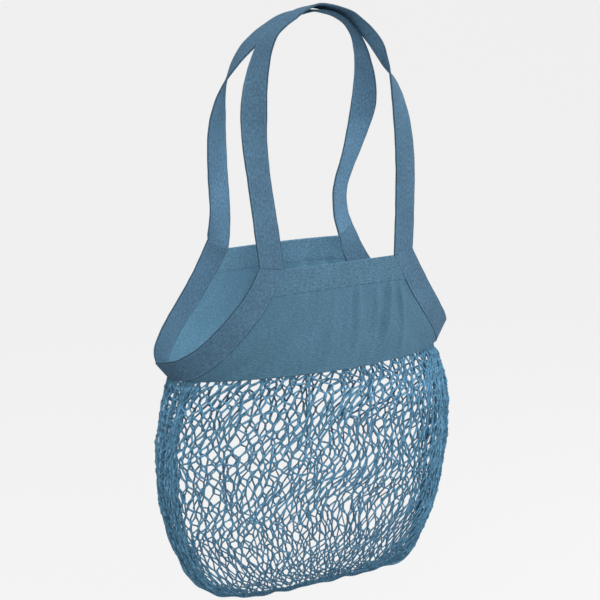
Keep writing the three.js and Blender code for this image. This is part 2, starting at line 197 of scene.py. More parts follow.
BINDING = Table(
    ("along", "out", "deep", "down", "face", "flare"),
    (
        (0.0, 0.0, 1.0, 0.0, 10, 0), (0.15, 0.13, 1.03, 0.17, 12, 0),
        (0.3, 0.29, 1.01, 0.34, 18, 2), (0.5, 0.53, 0.92, 0.55, 28, 6),
        (0.67, 0.73, 0.76, 0.71, 40, 14), (0.83, 0.9, 0.46, 0.83, 62, 27),
        (1.0, 1.0, 0.0, 0.885, 90, 40),
    ),
)
YOKE = Table(
    ("along", "bulge"),
    ((0.0, 0.8), (0.25, 0.86), (0.5, 0.92), (0.75, 0.97), (1.0, 1.0)),
)
NET = Table(
    ("along", "down", "left", "right", "deep", "square", "lift"),
    (
        (0.0, 0.0, 0.925, 0.93, 1.0, 2.0, 0.0), (0.12, 0.12, 0.965, 0.975, 1.02, 2.2, 0.0),
        (0.3, 0.3, 1.005, 1.005, 1.02, 2.4, 0.0), (0.5, 0.51, 0.985, 0.99, 0.94, 2.4, 0.0),
        (0.68, 0.7, 0.92, 0.955, 0.78, 2.3, 0.01), (0.84, 0.87, 0.825, 0.865, 0.52, 2.2, 0.03),
        (0.94, 0.96, 0.73, 0.82, 0.27, 2.1, 0.045), (1.0, 1.0, 0.64, 0.78, 0.05, 2.0, 0.05),
    ),
)


@dataclass(frozen=True)
class BagForm:
    """The lines and surfaces that the pieces follow, in metres."""

    tape_width: float = 28 * MM
    tape_thickness: float = 2 * MM
    handle_drop: float = 259 * MM
    handle_spread: float = 0.85
    handle_crest: float = 0.06
    foot_spread: float = 82 * MM
    mouth_half_depth: float = 60 * MM
    yoke_depth: float = 125 * MM
    yoke_half_depth: float = 79 * MM
    yoke_hem_rise: float = 11 * MM
    yoke_end: float = 0.95
    reach_left: float = 98 * MM
    reach_right: float = 81.5 * MM
    net_depth: float = 263 * MM
    net_right_lift: float = 0.4
    net_corner_rise: float = 1.8 * MM
    net_half_depth: float = 78 * MM
    net_overhang: float = 4.2 * MM
    gap: float = 0.3 * MM
    tuck: float = 0.7 * MM

    @property
    def yoke_height(self) -> float:
        """The yoke's height at its middle."""
        return self.yoke_depth - self.yoke_hem_rise

    def foot(self, hand: Hand, face: Face) -> tuple[float, float]:
        """The twist and the tilt of the tape at one foot, in degrees.

        Args:
            hand: The side.
            face: The face.

        Returns:
            The two angles; the tilt lifts the tape's outer edge.
        """
        if face is Face.FRONT:
            return 0.0, 8.0
        return (-14.0, 26.0) if hand is Hand.LEFT else (-33.0, 26.0)

    def foot_rise(self, hand: Hand, face: Face) -> float:
        """How far a foot's middle stands above the mouth's edge."""
        return float(np.sin(np.radians(self.foot(hand, face)[1])) * self.tape_width / 2)

    def handle_line(self, table: Table, face: Face, along: Grid) -> tuple[Grid, Grid]:
        """The middle line of a handle and the tape's direction across it.

        The handles part below the arch as a rounded power of the distance from the crest. The tape
        turns by the table's two angles, and tilts more in the last eighth before each foot.

        Args:
            table: The handle's table.
            face: Which handle it is; the front one passes over the back one.
            along: Shares of the handle's length, from its left foot to its right foot.

        Returns:
            The points and the unit directions across the tape.
        """
        half = self.tape_thickness / 2
        layer = 3 * half + self.gap if face is Face.FRONT else half
        low = np.abs(2 * along - 1)
        crest = self.handle_crest

        def spread(value: Grid | float) -> Grid:
            """The rounded power of a distance."""
            return (np.asarray(value) ** 2 + crest**2) ** (self.handle_spread / 2)

        lean = (spread(low) - spread(0)) / (spread(1) - spread(0))
        left = along < 0.5
        rise = np.where(left, self.foot_rise(Hand.LEFT, face), self.foot_rise(Hand.RIGHT, face))
        middle = stack(
            table.read("across", along) * self.foot_spread,
            face.value * lean * self.mouth_half_depth,
            lerp(self.gap / 2 - self.handle_drop + rise, layer, table.read("rise", along)),
        )
        turn = np.radians(table.read("turn", along))
        side = np.where(left, -1.0, 1.0)
        tilts = np.where(left, self.foot(Hand.LEFT, face)[1], self.foot(Hand.RIGHT, face)[1])
        outward = np.where(np.cos(turn) * side < 0, -1.0, 1.0)
        tilt = outward * tilts * np.maximum(0, 8 * low - 7) ** 2
        pitch = np.radians(table.read("tip", along) + tilt)
        flat = np.cos(pitch)
        return middle, stack(np.cos(turn) * flat, np.sin(turn) * flat, np.sin(pitch))

    def binding_line(self, hand: Hand, face: Face, along: Grid) -> tuple[Grid, Grid]:
        """The middle line of half a binding, from a handle's foot to the side corner.

        Args:
            hand: The side.
            face: The face that the half lies on.
            along: Shares of the way down to the side corner.

        Returns:
            The points and the unit directions to the tape's free edge.
        """
        reach = self.reach_left if hand is Hand.LEFT else self.reach_right
        side, front = hand.value, face.value

        def point(at: Grid) -> Grid:
            """The middle line's points."""
            return stack(
                side * (self.foot_spread + BINDING.read("out", at) * reach),
                front * BINDING.read("deep", at) * self.mouth_half_depth,
                self.foot_rise(hand, face) * (1 - at) ** 4
                - self.handle_drop
                - self.gap / 2
                - BINDING.read("down", at) * self.yoke_depth,
            )

        step = 0.01
        forward = point(np.minimum(along + step, 1)) - point(np.maximum(along - step, 0))
        forward[along >= 1] = (0, -front, 0)
        forward = unit(forward)
        twist, tilt = self.foot(hand, face)
        tilt = np.radians(tilt)
        fade = (1 - along) ** 4
        sideways = np.radians(BINDING.read("face", along) + twist * fade)
        outward = stack(side * np.sin(sideways), front * np.cos(sideways), 0.0)
        level = stack(side * np.cos(sideways), -front * np.sin(sideways), 0.0)
        over = unit(np.cross(forward, outward))
        over = turned(over, over[:, 0] * side + over[:, 2])
        over = unit(lerp(over, level * np.cos(tilt) + np.array([0, 0, np.sin(tilt)]), fade[:, None]))
        flare = np.radians(BINDING.read("flare", along))[:, None]
        facing = unit(np.cross(over, forward))
        facing = turned(facing, (facing * outward).sum(1))
        return point(along), over * np.cos(flare) + facing * np.sin(flare)

    def yoke_side(self, hand: Hand, face: Face, height: Grid) -> Grid:
        """The yoke's side edge, just inside the binding's inner edge, at shares of its own height.

        Args:
            hand: The side.
            face: The face.
            height: Shares of the edge's own height, from the mouth down.

        Returns:
            The edge's points.
        """
        fine = np.linspace(0, self.yoke_end, 240)
        middle, over = self.binding_line(hand, face, fine)
        edge = middle - over * (self.tape_width / 2 - self.tuck)
        wanted = lerp(edge[0, 2], edge[-1, 2], height)
        return at_run(-wanted, -edge[:, 2], edge)

    def yoke_point(self, face: Face, across: Grid, height: Grid) -> Grid:
        """The yoke's surface: each level is a stretch of an ellipse through the two side edges.

        Args:
            face: The bag's front or back.
            across: Shares from the left binding to the right one, of shape (n,).
            height: Shares from the mouth's edge down to the lower edge, of shape (m,).

        Returns:
            Points of shape (n, m, 3).
        """
        left = self.yoke_side(Hand.LEFT, face, height)[None]
        right = self.yoke_side(Hand.RIGHT, face, height)[None]
        share, level = across[:, None], height[None]
        bulge = YOKE.read("bulge", np.clip(level, 0, 1)) * self.yoke_half_depth
        edge = np.abs(lerp(left[..., 1], right[..., 1], share)) / bulge
        apart = (2 * share - 1) ** 2
        bow = np.sqrt(1 - (1 - edge**2) * apart)
        drop = -self.handle_drop - self.gap / 2 - level * self.yoke_height
        return stack(
            lerp(left[..., 0], right[..., 0], share),
            face.value * bulge * bow,
            lerp(drop, lerp(left[..., 2], right[..., 2], share), apart**2),
        )

    def net_point(self, around: Grid, along: Grid) -> Grid:
        """The net's surface: rounded rings that draw together towards the bottom seam.

        Args:
            around: 0 at the left corner, 0.25 in front, 0.5 at the right corner, 0.75 at the back.
            along: 0 at the yoke and 1 at the bottom seam.

        Returns:
            Points in the common shape of the two.
        """
        angle = around * TURN
        power = 2 / NET.read("square", along)
        across = -np.sign(np.cos(angle)) * np.abs(np.cos(angle)) ** power
        front = np.sign(np.sin(angle)) * np.abs(np.sin(angle)) ** power
        side = self.foot_spread + self.net_overhang
        left = (side + self.reach_left) * NET.read("left", along)
        right = (side + self.reach_right) * NET.read("right", along)
        corner = self.net_corner_rise - self.handle_drop - self.yoke_depth
        hem = (self.yoke_hem_rise - self.net_corner_rise - 1.5 * self.gap) * (1 - across**4)
        lift = NET.read("lift", along) * np.where(across < 0, 1.0, self.net_right_lift)
        sink = NET.read("down", along) - lift * across**4
        return stack(
            across * np.where(across < 0, left, right),
            -front * self.net_half_depth * NET.read("deep", along),
            corner + hem * (1 - along) ** 2 - self.net_depth * sink,
        )


FORM = BagForm()


# Meshes


@dataclass
class Shape:
    """Points, four-cornered faces, and a place on the cloth in metres for each face corner."""

    points: Grid
    faces: NDArray[np.int64]
    places: Grid


def join(shapes: Iterable[Shape]) -> Shape:
    """Several shapes as one.

    Args:
        shapes: The shapes, in order.

    Returns:
        One shape with all their points, faces and places.
    """
    shapes = list(shapes)
    starts = np.cumsum([0] + [len(shape.points) for shape in shapes[:-1]])
    return Shape(
        np.concatenate([shape.points for shape in shapes]),
        np.concatenate([shape.faces + start for shape, start in zip(shapes, starts)]),
        np.concatenate([shape.places for shape in shapes]),
    )


def sweep(rings: Grid, length: Grid, girth: Grid) -> Shape:
    """Closed tubes through rings of points, with both ends shut.

    Each ring joins the next by one face per side. An end is shut by faces between its points
    counted from the first and from the last.

    Args:
        rings: Points of shape (tubes, stations, sides, 3), with an even number of sides.
        length: The place along of each station, of shape (tubes, stations), in metres.
        girth: The place across of each side, and of the first again, of shape (sides + 1,).

    Returns:
        The shape, with its faces pointing outwards.
    """
    tubes, stations, sides, _ = rings.shape
    first = (np.arange(tubes)[:, None] * stations + np.arange(stations)) * sides
    a = first[:, :-1, None] + np.arange(sides)
    b = first[:, :-1, None] + (np.arange(sides) + 1) % sides
    walls = np.stack([a, b, b + sides, a + sides], axis=-1).reshape(-1, 4)
    u = np.broadcast_to(length[:, :, None], (tubes, stations, sides))
    here, there = u[:, :-1], u[:, 1:]
    near, far = np.broadcast_to(girth[:-1], here.shape), np.broadcast_to(girth[1:], here.shape)
    corners = ((here, near), (here, far), (there, far), (there, near))
    wall_places = np.stack([np.stack(corner, -1) for corner in corners], axis=-2).reshape(-1, 4, 2)
    j = np.arange(sides // 2 - 1)
    start = np.stack([j, sides - 1 - j, sides - 2 - j, j + 1], axis=-1)
    caps = ((first[:, 0], start), (first[:, -1], start[:, ::-1]))
    ends = np.concatenate([(ring[:, None, None] + side).reshape(-1, 4) for ring, side in caps])
    faces = np.concatenate([walls, ends])
    points = rings.reshape(-1, 3)
    p, q, r, s = np.moveaxis(points[faces], 1, 0)
    volume = (p * np.cross(q, r)).sum() + (p * np.cross(r, s)).sum()
    end_places = np.zeros((len(ends), 4, 2))
    end_places[:, :, 0] = length.ravel()[0]
    places = np.concatenate([wall_places, end_places])
    if volume < 0:
        faces, places = faces[:, ::-1], places[:, ::-1]
    return Shape(points, faces, places)


def cords(lines: Grid, radii: Grid, facing: Grid, sides: int = 6) -> Shape:
    """Round cords along lines of points.

    A ring stands square to the line at each point, turned so that its first side looks along facing.

    Args:
        lines: Points of shape (cords, stations, 3).
        radii: Radii of shape (cords, stations).
        facing: Directions of the same shape as lines.
        sides: The sides of a ring, an even number.

    Returns:
        The cords as one shape.
    """
    forward = unit(np.gradient(lines, axis=1))
    across = unit(np.cross(forward, facing))
    out = np.cross(across, forward)
    angle = np.arange(sides) / sides * TURN
    spokes = out[:, :, None] * np.cos(angle)[:, None] + across[:, :, None] * np.sin(angle)[:, None]
    rings = lines[:, :, None] + spokes * radii[:, :, None, None]
    girth = np.linspace(0, 1, sides + 1) * TURN * float(radii.mean())
    return sweep(rings, travelled(lines), girth)


def add(name: str, data: ID) -> Object:
    """Puts a mesh, a lamp or a camera into the scene as an object.

    Args:
        name: The object's name.
        data: Its mesh, lamp or camera.

    Returns:
        The object.
    """
    made = bpy.data.objects.new(name, data)
    bpy.context.scene.collection.objects.link(made)
    return made


def add_mesh(name: str, points: Grid, faces: list[list[int]], material: Material) -> Object:
    """Puts points and faces into the scene as a smooth mesh.

    Args:
        name: The object's name.
        points: Its points, of shape (n, 3).
        faces: The points' numbers round each face.
        material: Its finish.

    Returns:
        The object.
    """
    mesh = bpy.data.meshes.new(name)
    mesh.from_pydata(points.tolist(), [], faces)
    mesh.polygons.foreach_set("use_smooth", np.ones(len(mesh.polygons), bool))
    mesh.materials.append(material)
    return add(name, mesh)


def piece(name: str, shape: Shape, material: Material, slot: Slot, *nodes: str) -> Object:
    """Makes a finished piece that rides on the bag and stands for those CAD nodes.

    Args:
        name: The piece's name.
        shape: Its mesh.
        material: Its finish.
        slot: The record's material slot; not used.
        nodes: The CAD nodes that it stands for.

    Returns:
        The piece.
    """
    made = add_mesh(name, shape.points, shape.faces.tolist(), material)
    layer = made.data.uv_layers.new(name="cloth")
    layer.data.foreach_set("uv", shape.places.astype(np.float32).ravel())
    made.data.update()
    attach(made, BODY)
    if nodes:
        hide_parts(*nodes)
    log.info("%s: %d faces", name, len(shape.faces))
    return made


# Finishes


class Graph:
    """A material's nodes, added one by one and joined by their sockets."""

    def __init__(self, name: str) -> None:
        """Starts an empty material of that name.

        Args:
            name: The material's name.
        """
        self.material = bpy.data.materials.new(name)
        self.material.use_nodes = True
        self.tree = self.material.node_tree
        self.tree.nodes.clear()

    def node(self, kind: str, **inputs: object) -> Node:
        """Adds a node, with values or sockets by input name, _ for a space, and settings in lower case.

        Args:
            kind: The node's type.
            inputs: The values, sockets and settings.

        Returns:
            The node.
        """
        made = self.tree.nodes.new(kind)
        for key, value in inputs.items():
            if key.islower():
                setattr(made, key, value)
            else:
                self.feed(made.inputs[key.replace("_", " ")], value)
        return made

    def feed(self, socket: NodeSocket, value: object) -> None:
        """Gives an input a value, or joins it to another node's output.

        Args:
            socket: The input.
            value: A plain value, or an output.
        """
        if isinstance(value, NodeSocket):
            self.tree.links.new(value, socket)
        else:
            socket.default_value = value

    def sums(self, operation: str, first: object, second: object = 0.0) -> NodeSocket:
        """One step of arithmetic on two numbers or sockets.

        Args:
            operation: The Math node's operation.
            first: The first number or output.
            second: The second one, where the operation has it.

        Returns:
            The result's output.
        """
        made = self.node("ShaderNodeMath", operation=operation)
        self.feed(made.inputs[0], first)
        self.feed(made.inputs[1], second)
        return made.outputs[0]

    def plus(self, first: object, second: object) -> NodeSocket:
        """The two added."""
        return self.sums("ADD", first, second)

    def times(self, first: object, second: object) -> NodeSocket:
        """The two multiplied."""
        return self.sums("MULTIPLY", first, second)

    def place(self) -> tuple[NodeSocket, NodeSocket, NodeSocket]:
        """The place on the cloth, as a vector and as its length along and across, in metres.

        Returns:
            The outputs of the vector, the length along and the length across.
        """
        uv = self.node("ShaderNodeUVMap", uv_map="cloth").outputs[0]
        parts = self.node("ShaderNodeSeparateXYZ", Vector=uv)
        return uv, parts.outputs[0], parts.outputs[1]

    def noise(self, vector: NodeSocket, stretch: tuple[float, float], detail: float) -> NodeSocket:
        """Cloudy noise whose spots are one over the stretch wide each way, in metres.

        Args:
            vector: The place to read it at.
            stretch: Spots to the metre along and across.
            detail: How many finer layers lie on it.

        Returns:
            The noise's output, about 0.5 on average.
        """
        mapped = self.node("ShaderNodeMapping", Vector=vector, Scale=(stretch[0], stretch[1], 1.0))
        made = self.node("ShaderNodeTexNoise", Vector=mapped.outputs[0], Scale=1.0, Roughness=0.6, Detail=detail)
        return made.outputs[0]

    def ramp(self, factor: NodeSocket, stops: Stops) -> NodeSocket:
        """Colours picked by a number, between stops.

        Args:
            factor: The number's output.
            stops: Places from 0 to 1, each with its colour.

        Returns:
            The colour's output.
        """
        made = self.node("ShaderNodeValToRGB", Fac=factor)
        elements = made.color_ramp.elements
        while len(elements) < len(stops):
            elements.new(0.5)
        for element, (at, colour) in zip(elements, stops):
            element.position = at
            element.color = (*colour, 1.0)
        return made.outputs[0]

    def finished(self, **inputs: object) -> Material:
        """Ends the graph with a matt surface of these inputs, and gives the material.

        Args:
            inputs: The surface's values and sockets, by input name.

        Returns:
            The material.
        """
        surface = self.node("ShaderNodeBsdfPrincipled", **inputs)
        self.node("ShaderNodeOutputMaterial", Surface=surface.outputs[0])
        return self.material


def linear(red: int, green: int, blue: int, times: float = 1.0) -> tuple[float, float, float]:
    """A screen colour from 0 to 255 as light: the value over 255, to the power 2.2, times a factor."""
    return tuple(min(1.0, (value / 255) ** 2.2 * times) for value in (red, green, blue))


# The inner side's faces have their map shifted past INNER_FROM, and the weave paints them lighter: partly a
# paler wrong side, partly painted light.
INNER_SIDE = 36 * FORM.tape_width  # how far the inner side's map lies past the outer side's
INNER_FROM = 0.5
# Painted shade and highlight along tape edges: a dark line at the edge stands in for the shadow there, a light
# line on the fold beside it for a highlight. Each pair is a share of the edge reach and a factor on the colour.
EDGE_REACH = 4 * MM
EDGE_PAINTED_SHADE_AND_HIGHLIGHT = ((0.0, 0.48), (0.24, 0.55), (0.36, 1.14), (0.6, 1.18), (0.75, 1.0))
SHADE_LIMIT = 1.5  # a ramp's colours end at 1, so the shades are stored as parts of this


@dataclass(frozen=True)
class Weave:
    """Dyed cotton with a heathered yarn: plain weave, twill or a twisted cord."""

    name: str
    colour: tuple[int, int, int]
    thread: float
    slant: float
    fleck: float
    contrast: float
    bump: float
    streak: tuple[float, float] = (160.0, 1500.0)
    # inside: how much lighter the inner side is painted, partly the cloth's paler wrong side and partly painted
    # light for light falling into the bag.
    inside: float = 1.0
    # edges turns on the painted edge shade and highlight.
    edges: bool = False

    def shade(self, graph: Graph, across: NodeSocket) -> NodeSocket:
        """How much light the cloth gives back at a place across, as a share of its plain colour.

        Faces whose map lies past half a metre across are the inner side, lightened by the inside
        factor: partly the cloth's paler wrong side and partly painted light for the light that falls
        into the bag. A tape also gets painted shade along its edges and a painted highlight on the
        fold beside them, found by the distance to the nearest edge, |(across + w/2) mod w - w/2|
        taken from w/2, where w is the tape's width.

        Args:
            graph: The material's nodes.
            across: The place across, in metres.

        Returns:
            The share's output.
        """
        # Inner faces are painted lighter: partly the paler wrong side, partly painted light that stands in for
        # light reaching the bag's inside.
        inner = graph.sums("GREATER_THAN", across, INNER_FROM)
        share = graph.plus(graph.times(inner, self.inside - 1), 1.0)
        # A tape's edges get painted shade, and the fold beside them a painted highlight, from the ramp below.
        if not self.edges:
            return share
        width = FORM.tape_width
        folded = graph.sums("FLOORED_MODULO", graph.plus(across, width / 2), width)
        off = graph.sums("ABSOLUTE", graph.sums("SUBTRACT", folded, width / 2))
        near = graph.sums("DIVIDE", graph.sums("SUBTRACT", width / 2, off), EDGE_REACH)
        lines = graph.ramp(near, [(at, (value / SHADE_LIMIT,) * 3) for at, value in EDGE_PAINTED_SHADE_AND_HIGHLIGHT])
        return graph.times(share, graph.times(lines, SHADE_LIMIT))

    def build(self) -> Material:
        """Makes the material.

        The height is a product of two waves, one thread apart each way, or one slanted wave for
        twill and cord. The colour comes from spots of noise a fleck wide, streaks along the yarn
        and wide clouds.

        Returns:
            The material.
        """
        graph = Graph(self.name)
        uv, along, across = graph.place()
        turn = TURN / self.thread
        slanted = graph.plus(along, graph.times(across, self.slant))
        one = graph.sums("SINE", graph.times(slanted, turn))
        two = graph.sums("SINE", graph.times(across, turn * 0.9))
        weave = graph.times(one, two) if self.slant == 0 else one
        flecks = graph.noise(uv, (0.45 / self.fleck, 1 / self.fleck), 2.0)
        streaks = graph.noise(uv, self.streak, 2.0)
        clouds = graph.noise(uv, (28.0, 28.0), 2.0)
        mixed = graph.times(flecks, 0.6)
        for part, weight in ((streaks, 0.25), (clouds, 0.15), (weave, 0.02)):
            mixed = graph.plus(mixed, graph.times(part, weight))
        stops = ((0.4, 1 - self.contrast), (0.5, 1.0), (0.6, 1 + 1.3 * self.contrast))
        colour = graph.ramp(mixed, [(at, linear(*self.colour, times=light)) for at, light in stops])
        shade = self.shade(graph, across)
        shaded = graph.node("ShaderNodeVectorMath", operation="SCALE", Vector=colour, Scale=shade)
        height = graph.plus(weave, graph.times(flecks, 1.5))
        bump = graph.node("ShaderNodeBump", Strength=self.bump, Distance=0.3 * MM, Height=height)
        return graph.finished(
            Base_Color=shaded.outputs[0],
            Roughness=0.94,
            Sheen_Weight=0.18,
            Sheen_Roughness=0.5,
            Sheen_Tint=(*linear(*self.colour, times=2.0), 1.0),
            Specular_IOR_Level=0.18,
            Normal=bump.outputs[0],
        )


# The inside factors paint each inner side lighter, partly the cloth's paler wrong side and partly painted light
# for light falling into the bag.
TAPE_WEAVE = Weave("tape_twill", (71, 99, 120), 1.1 * MM, 0.8, 1.5 * MM, 0.27, 0.55, inside=1.65, edges=True)
CLOTH_WEAVE = Weave("yoke_cotton", (70, 102, 121), 0.7 * MM, 0.0, 1.4 * MM, 0.2, 0.35, inside=1.55)
BAND_WEAVE = Weave("hem_cotton", (72, 103, 122), 0.7 * MM, 0.0, 1.4 * MM, 0.28, 0.4, inside=1.6)
BINDING_WEAVE = replace(TAPE_WEAVE, name="binding_twill", inside=1.25)
NET_YARN = Weave("net_yarn", (88, 132, 160), 1.7 * MM, 1.0, 2.6 * MM, 0.45, 0.8, (300.0, 300.0))
THREAD = Weave("sewing_thread", (84, 120, 143), 0.5 * MM, 1.0, 1.0 * MM, 0.15, 0.4)


@dataclass(frozen=True)
class Paper:
    """The studio's pale, even paper.

    It glows one strength to the camera and a lower one to the bag.
    """

    shade: float = 0.1
    glow: float = 0.785
    spill: float = 0.42

    def build(self) -> Material:
        """Makes the material, of strength spill + seen (glow - spill), with seen 1 for the camera's rays.

        Returns:
            The material.
        """
        graph = Graph("studio_paper")
        seen = graph.node("ShaderNodeLightPath").outputs["Is Camera Ray"]
        return graph.finished(
            Base_Color=(self.shade, self.shade, self.shade, 1.0),
            Roughness=1.0,
            Specular_IOR_Level=0.0,
            Emission_Color=(1.0, 1.0, 1.0, 1.0),
            Emission_Strength=graph.plus(graph.times(seen, self.glow - self.spill), self.spill),
        )


# Stitches


@dataclass(frozen=True)
class Stitching:
    """Rows of sewing thread that lie on the cloth, stitch by stitch."""

    stitch: float = 2.4 * MM
    pitch: float = 3.3 * MM
    radius: float = 0.26 * MM
    end_room: float = 0.3
    marks: tuple[float, ...] = (0.0, 0.3, 0.7, 1.0)
    rise: tuple[float, ...] = (-0.9, 0.35, 0.35, -0.9)
    girth: tuple[float, ...] = (0.6, 1.0, 1.0, 0.6)

    def row(self, line: Grid, facing: Grid) -> Shape:
        """One row along a line of points on the cloth's surface, whose normals there are facing.

        Each stitch is a short cord that rises from the cloth at one end and sinks in at the other.

        Args:
            line: Points on the surface, of shape (n, 3).
            facing: The unit normals there.

        Returns:
            The stitches.
        """
        run = travelled(line)
        count = max(1, int((run[-1] - self.stitch) / self.pitch))
        room = self.pitch * self.end_room
        starts = np.linspace(room, run[-1] - self.stitch - room, count)
        at = starts[:, None] + np.array(self.marks) * self.stitch
        out = unit(at_run(at, run, facing))
        lift = np.array(self.rise) * self.radius
        radii = np.broadcast_to(np.array(self.girth) * self.radius, at.shape)
        return cords(at_run(at, run, line) + out * lift[:, None], radii, out)


# The tapes


@dataclass
class Tape:
    """A folded woven tape: rounded edges, and a sewn channel along each edge."""

    name: str
    node: str
    middle: Grid
    over: Grid
    width: float = FORM.tape_width
    thickness: float = FORM.tape_thickness
    channel: float = 2.3 * MM
    channel_depth: float = 0.22 * MM
    channel_width: float = 0.6 * MM
    puff: float = 0.08 * MM
    puff_width: float = 0.9 * MM
    ripples: tuple[float, ...] = (0.041, 0.017, 0.11, 0.023)
    narrowing: float = 0.006
    cupping: float = 0.25 * MM
    waving: float = 0.12 * MM
    # inner_first puts the inner side's map, with its painted lighter shade, on the tape's first face.
    inner_first: bool = False
    stitching: Stitching = field(default_factory=Stitching)

    def stations(self) -> tuple[Grid, Grid, Grid]:
        """The middle line, the directions across, and the way that the tape faces.

        Returns:
            Three arrays of shape (n, 3), the last two of unit length.
        """
        forward = unit(np.gradient(self.middle, axis=0))
        facing = unit(np.cross(self.over, forward))
        return self.middle, unit(self.over), facing

    def half_thickness(self, across: Grid) -> Grid:
        """Half the tape's thickness at signed distances from its middle.

        The edges are round, each channel is a narrow dent, and the tape is a little fuller beside it.

        Args:
            across: Signed distances from the middle, in metres.

        Returns:
            Half the thickness there.
        """
        inside = self.width / 2 - np.abs(across)
        edge = np.sqrt(np.clip(1 - np.clip(1 - inside / (self.thickness / 2), 0, 1) ** 2, 0, 1))
        dent = bell(inside - self.channel, self.channel_width) * self.channel_depth
        puff = bell(inside - 1.1 * MM, self.puff_width) * self.puff
        return self.thickness / 2 * edge - dent + puff * edge

    def profile(self) -> tuple[Grid, Grid]:
        """The cross-section as a closed loop: distances across, and signed heights off the middle.

        Returns:
            The distances and the heights, once round from the first edge.
        """
        inside = np.array([0.0, 0.12, 0.35, 0.7, 1.1, 1.6, 2.0, 2.3, 2.6, 3.0, 3.8, 6.0, 9.0]) * MM
        half = np.concatenate([inside - self.width / 2, [0.0], (self.width / 2 - inside)[::-1]])
        height = self.half_thickness(half)
        return np.concatenate([half, half[::-1]]), np.concatenate([height, -height[::-1]])

    def shape(self) -> Shape:
        """The tape's mesh: its cross-section carried along its middle line.

        Four ripples with phases of their own change it on the way: two in the width, one that cups
        the tape and one that waves its edges against each other.

        Returns:
            The tape, without its stitches.
        """
        middle, over, facing = self.stations()
        run = travelled(middle)
        phases = np.random.default_rng(sum(map(ord, self.name))).random(len(self.ripples)) * TURN
        wide, fine, cup, wave = (ripple(run, length, phase) for length, phase in zip(self.ripples, phases))
        x, height = self.profile()
        narrow = 1 - self.narrowing * (wide + 0.6 * fine)
        share = x / (self.width / 2)
        cupped, waved = self.cupping * cup, self.waving * wave
        lift = cupped[:, None] * (share**2 - 0.4) + waved[:, None] * share**3
        rings = (
            middle[:, None]
            + over[:, None] * (x * narrow[:, None])[..., None]
            + facing[:, None] * (height + lift)[..., None]
        )
        first, last = (INNER_SIDE, 0.0) if self.inner_first else (0.0, INNER_SIDE)
        half = len(x) // 2
        girth = np.concatenate([x[:half] + first, x[half:] + last, [x[0] + first]])
        return sweep(rings[None], run[None], girth)

    def stitches(self) -> Shape:
        """Rows of stitches in the channels, on both faces.

        Returns:
            The stitches as one shape.
        """
        middle, over, facing = self.stations()
        at = self.width / 2 - self.channel
        height = float(self.half_thickness(np.array([at]))[0])
        return join(
            self.stitching.row(middle + over * side * at + facing * face * height, facing * face)
            for side in BOTH
            for face in BOTH
        )

    def build(self, tape: Material, thread: Material) -> None:
        """Makes the tape and its stitches."""
        piece(self.name, self.shape(), tape, Slot.TAPE, self.node)
        piece(f"{self.name}_stitches", self.stitches(), thread, Slot.TAPE)


@dataclass
class Handles:
    """The two long handles; the front one lies over the back one at the top."""

    steps: int = 300
    tuck: float = 1.4 * MM

    def tape(self, name: str, table: Table, face: Face) -> Tape:
        """One handle's tape, whose ends run a little way into the bindings.

        Args:
            name: The piece's name.
            table: The handle's table.
            face: Which handle it is.

        Returns:
            The tape.
        """
        along = np.linspace(0, 1, self.steps + 1)
        middle, over = FORM.handle_line(table, face, along)
        first, last = (end + unit(end - near) * self.tuck for end, near in (middle[:2], middle[:-3:-1]))
        middle = np.concatenate([[first], middle, [last]])
        over = np.concatenate([over[:1], over, over[-1:]])
        return Tape(name, name.replace("_tape", ""), middle, over, inner_first=face is Face.BACK)

    def build(self, tape: Material, thread: Material) -> None:
        """Makes both handles."""
        self.tape("handle_front_tape", FRONT_HANDLE, Face.FRONT).build(tape, thread)
        self.tape("handle_back_tape", BACK_HANDLE, Face.BACK).build(tape, thread)


@dataclass
class Bindings:
    """The tape on the yoke's side edges, round each side corner from the front foot to the back one."""

    steps: int = 90
    bar_rows: tuple[float, ...] = (2.0 * MM, 5.0 * MM)
    bar_inset: float = 2.6 * MM

    def line(self, hand: Hand) -> tuple[Grid, Grid]:
        """The middle line and the directions across of one binding.

        Args:
            hand: The side.

        Returns:
            Two arrays of shape (n, 3), from the front foot to the back one.
        """
        along = np.linspace(0, 1, self.steps + 1)
        front = FORM.binding_line(hand, Face.FRONT, along)
        back = FORM.binding_line(hand, Face.BACK, along[:-1])
        return tuple(np.concatenate([a, b[::-1]]) for a, b in zip(front, back))

    def bars(self, tape: Tape) -> Shape:
        """Rows of stitches across the tape just below each foot, where handle and binding are sewn.

        Args:
            tape: The binding's tape.

        Returns:
            The stitches as one shape.
        """
        run = travelled(tape.middle)
        across = np.linspace(-1, 1, 24) * (tape.width / 2 - self.bar_inset)
        half = tape.half_thickness(across)
        rows = []
        for distance in self.bar_rows:
            for place in (distance, run[-1] - distance):
                centre, side, out = (at_run(place, run, part) for part in tape.stations())
                for face in BOTH:
                    line = centre + side * across[:, None] + out * (face * half)[:, None]
                    rows.append(tape.stitching.row(line, np.broadcast_to(out * face, line.shape)))
        return join(rows)

    def build(self, tape: Material, thread: Material) -> None:
        """Makes both bindings.

        Args:
            tape: The tape's finish.
            thread: The stitches' finish.
        """
        for hand, side in ((Hand.LEFT, "left"), (Hand.RIGHT, "right")):
            line = self.line(hand)
            made = Tape(f"binding_{side}_tape", f"binding_{side}", *line, inner_first=hand is Hand.RIGHT)
            made.build(tape, thread)
            piece(f"foot_bars_{side}", self.bars(made), thread, Slot.TAPE)


# The cotton yoke


@dataclass(frozen=True)
class Fold:
    """A soft ridge down the cloth: its place at the top and bottom, its width and its height."""

    top: float
    bottom: float
    width: float
    height: float


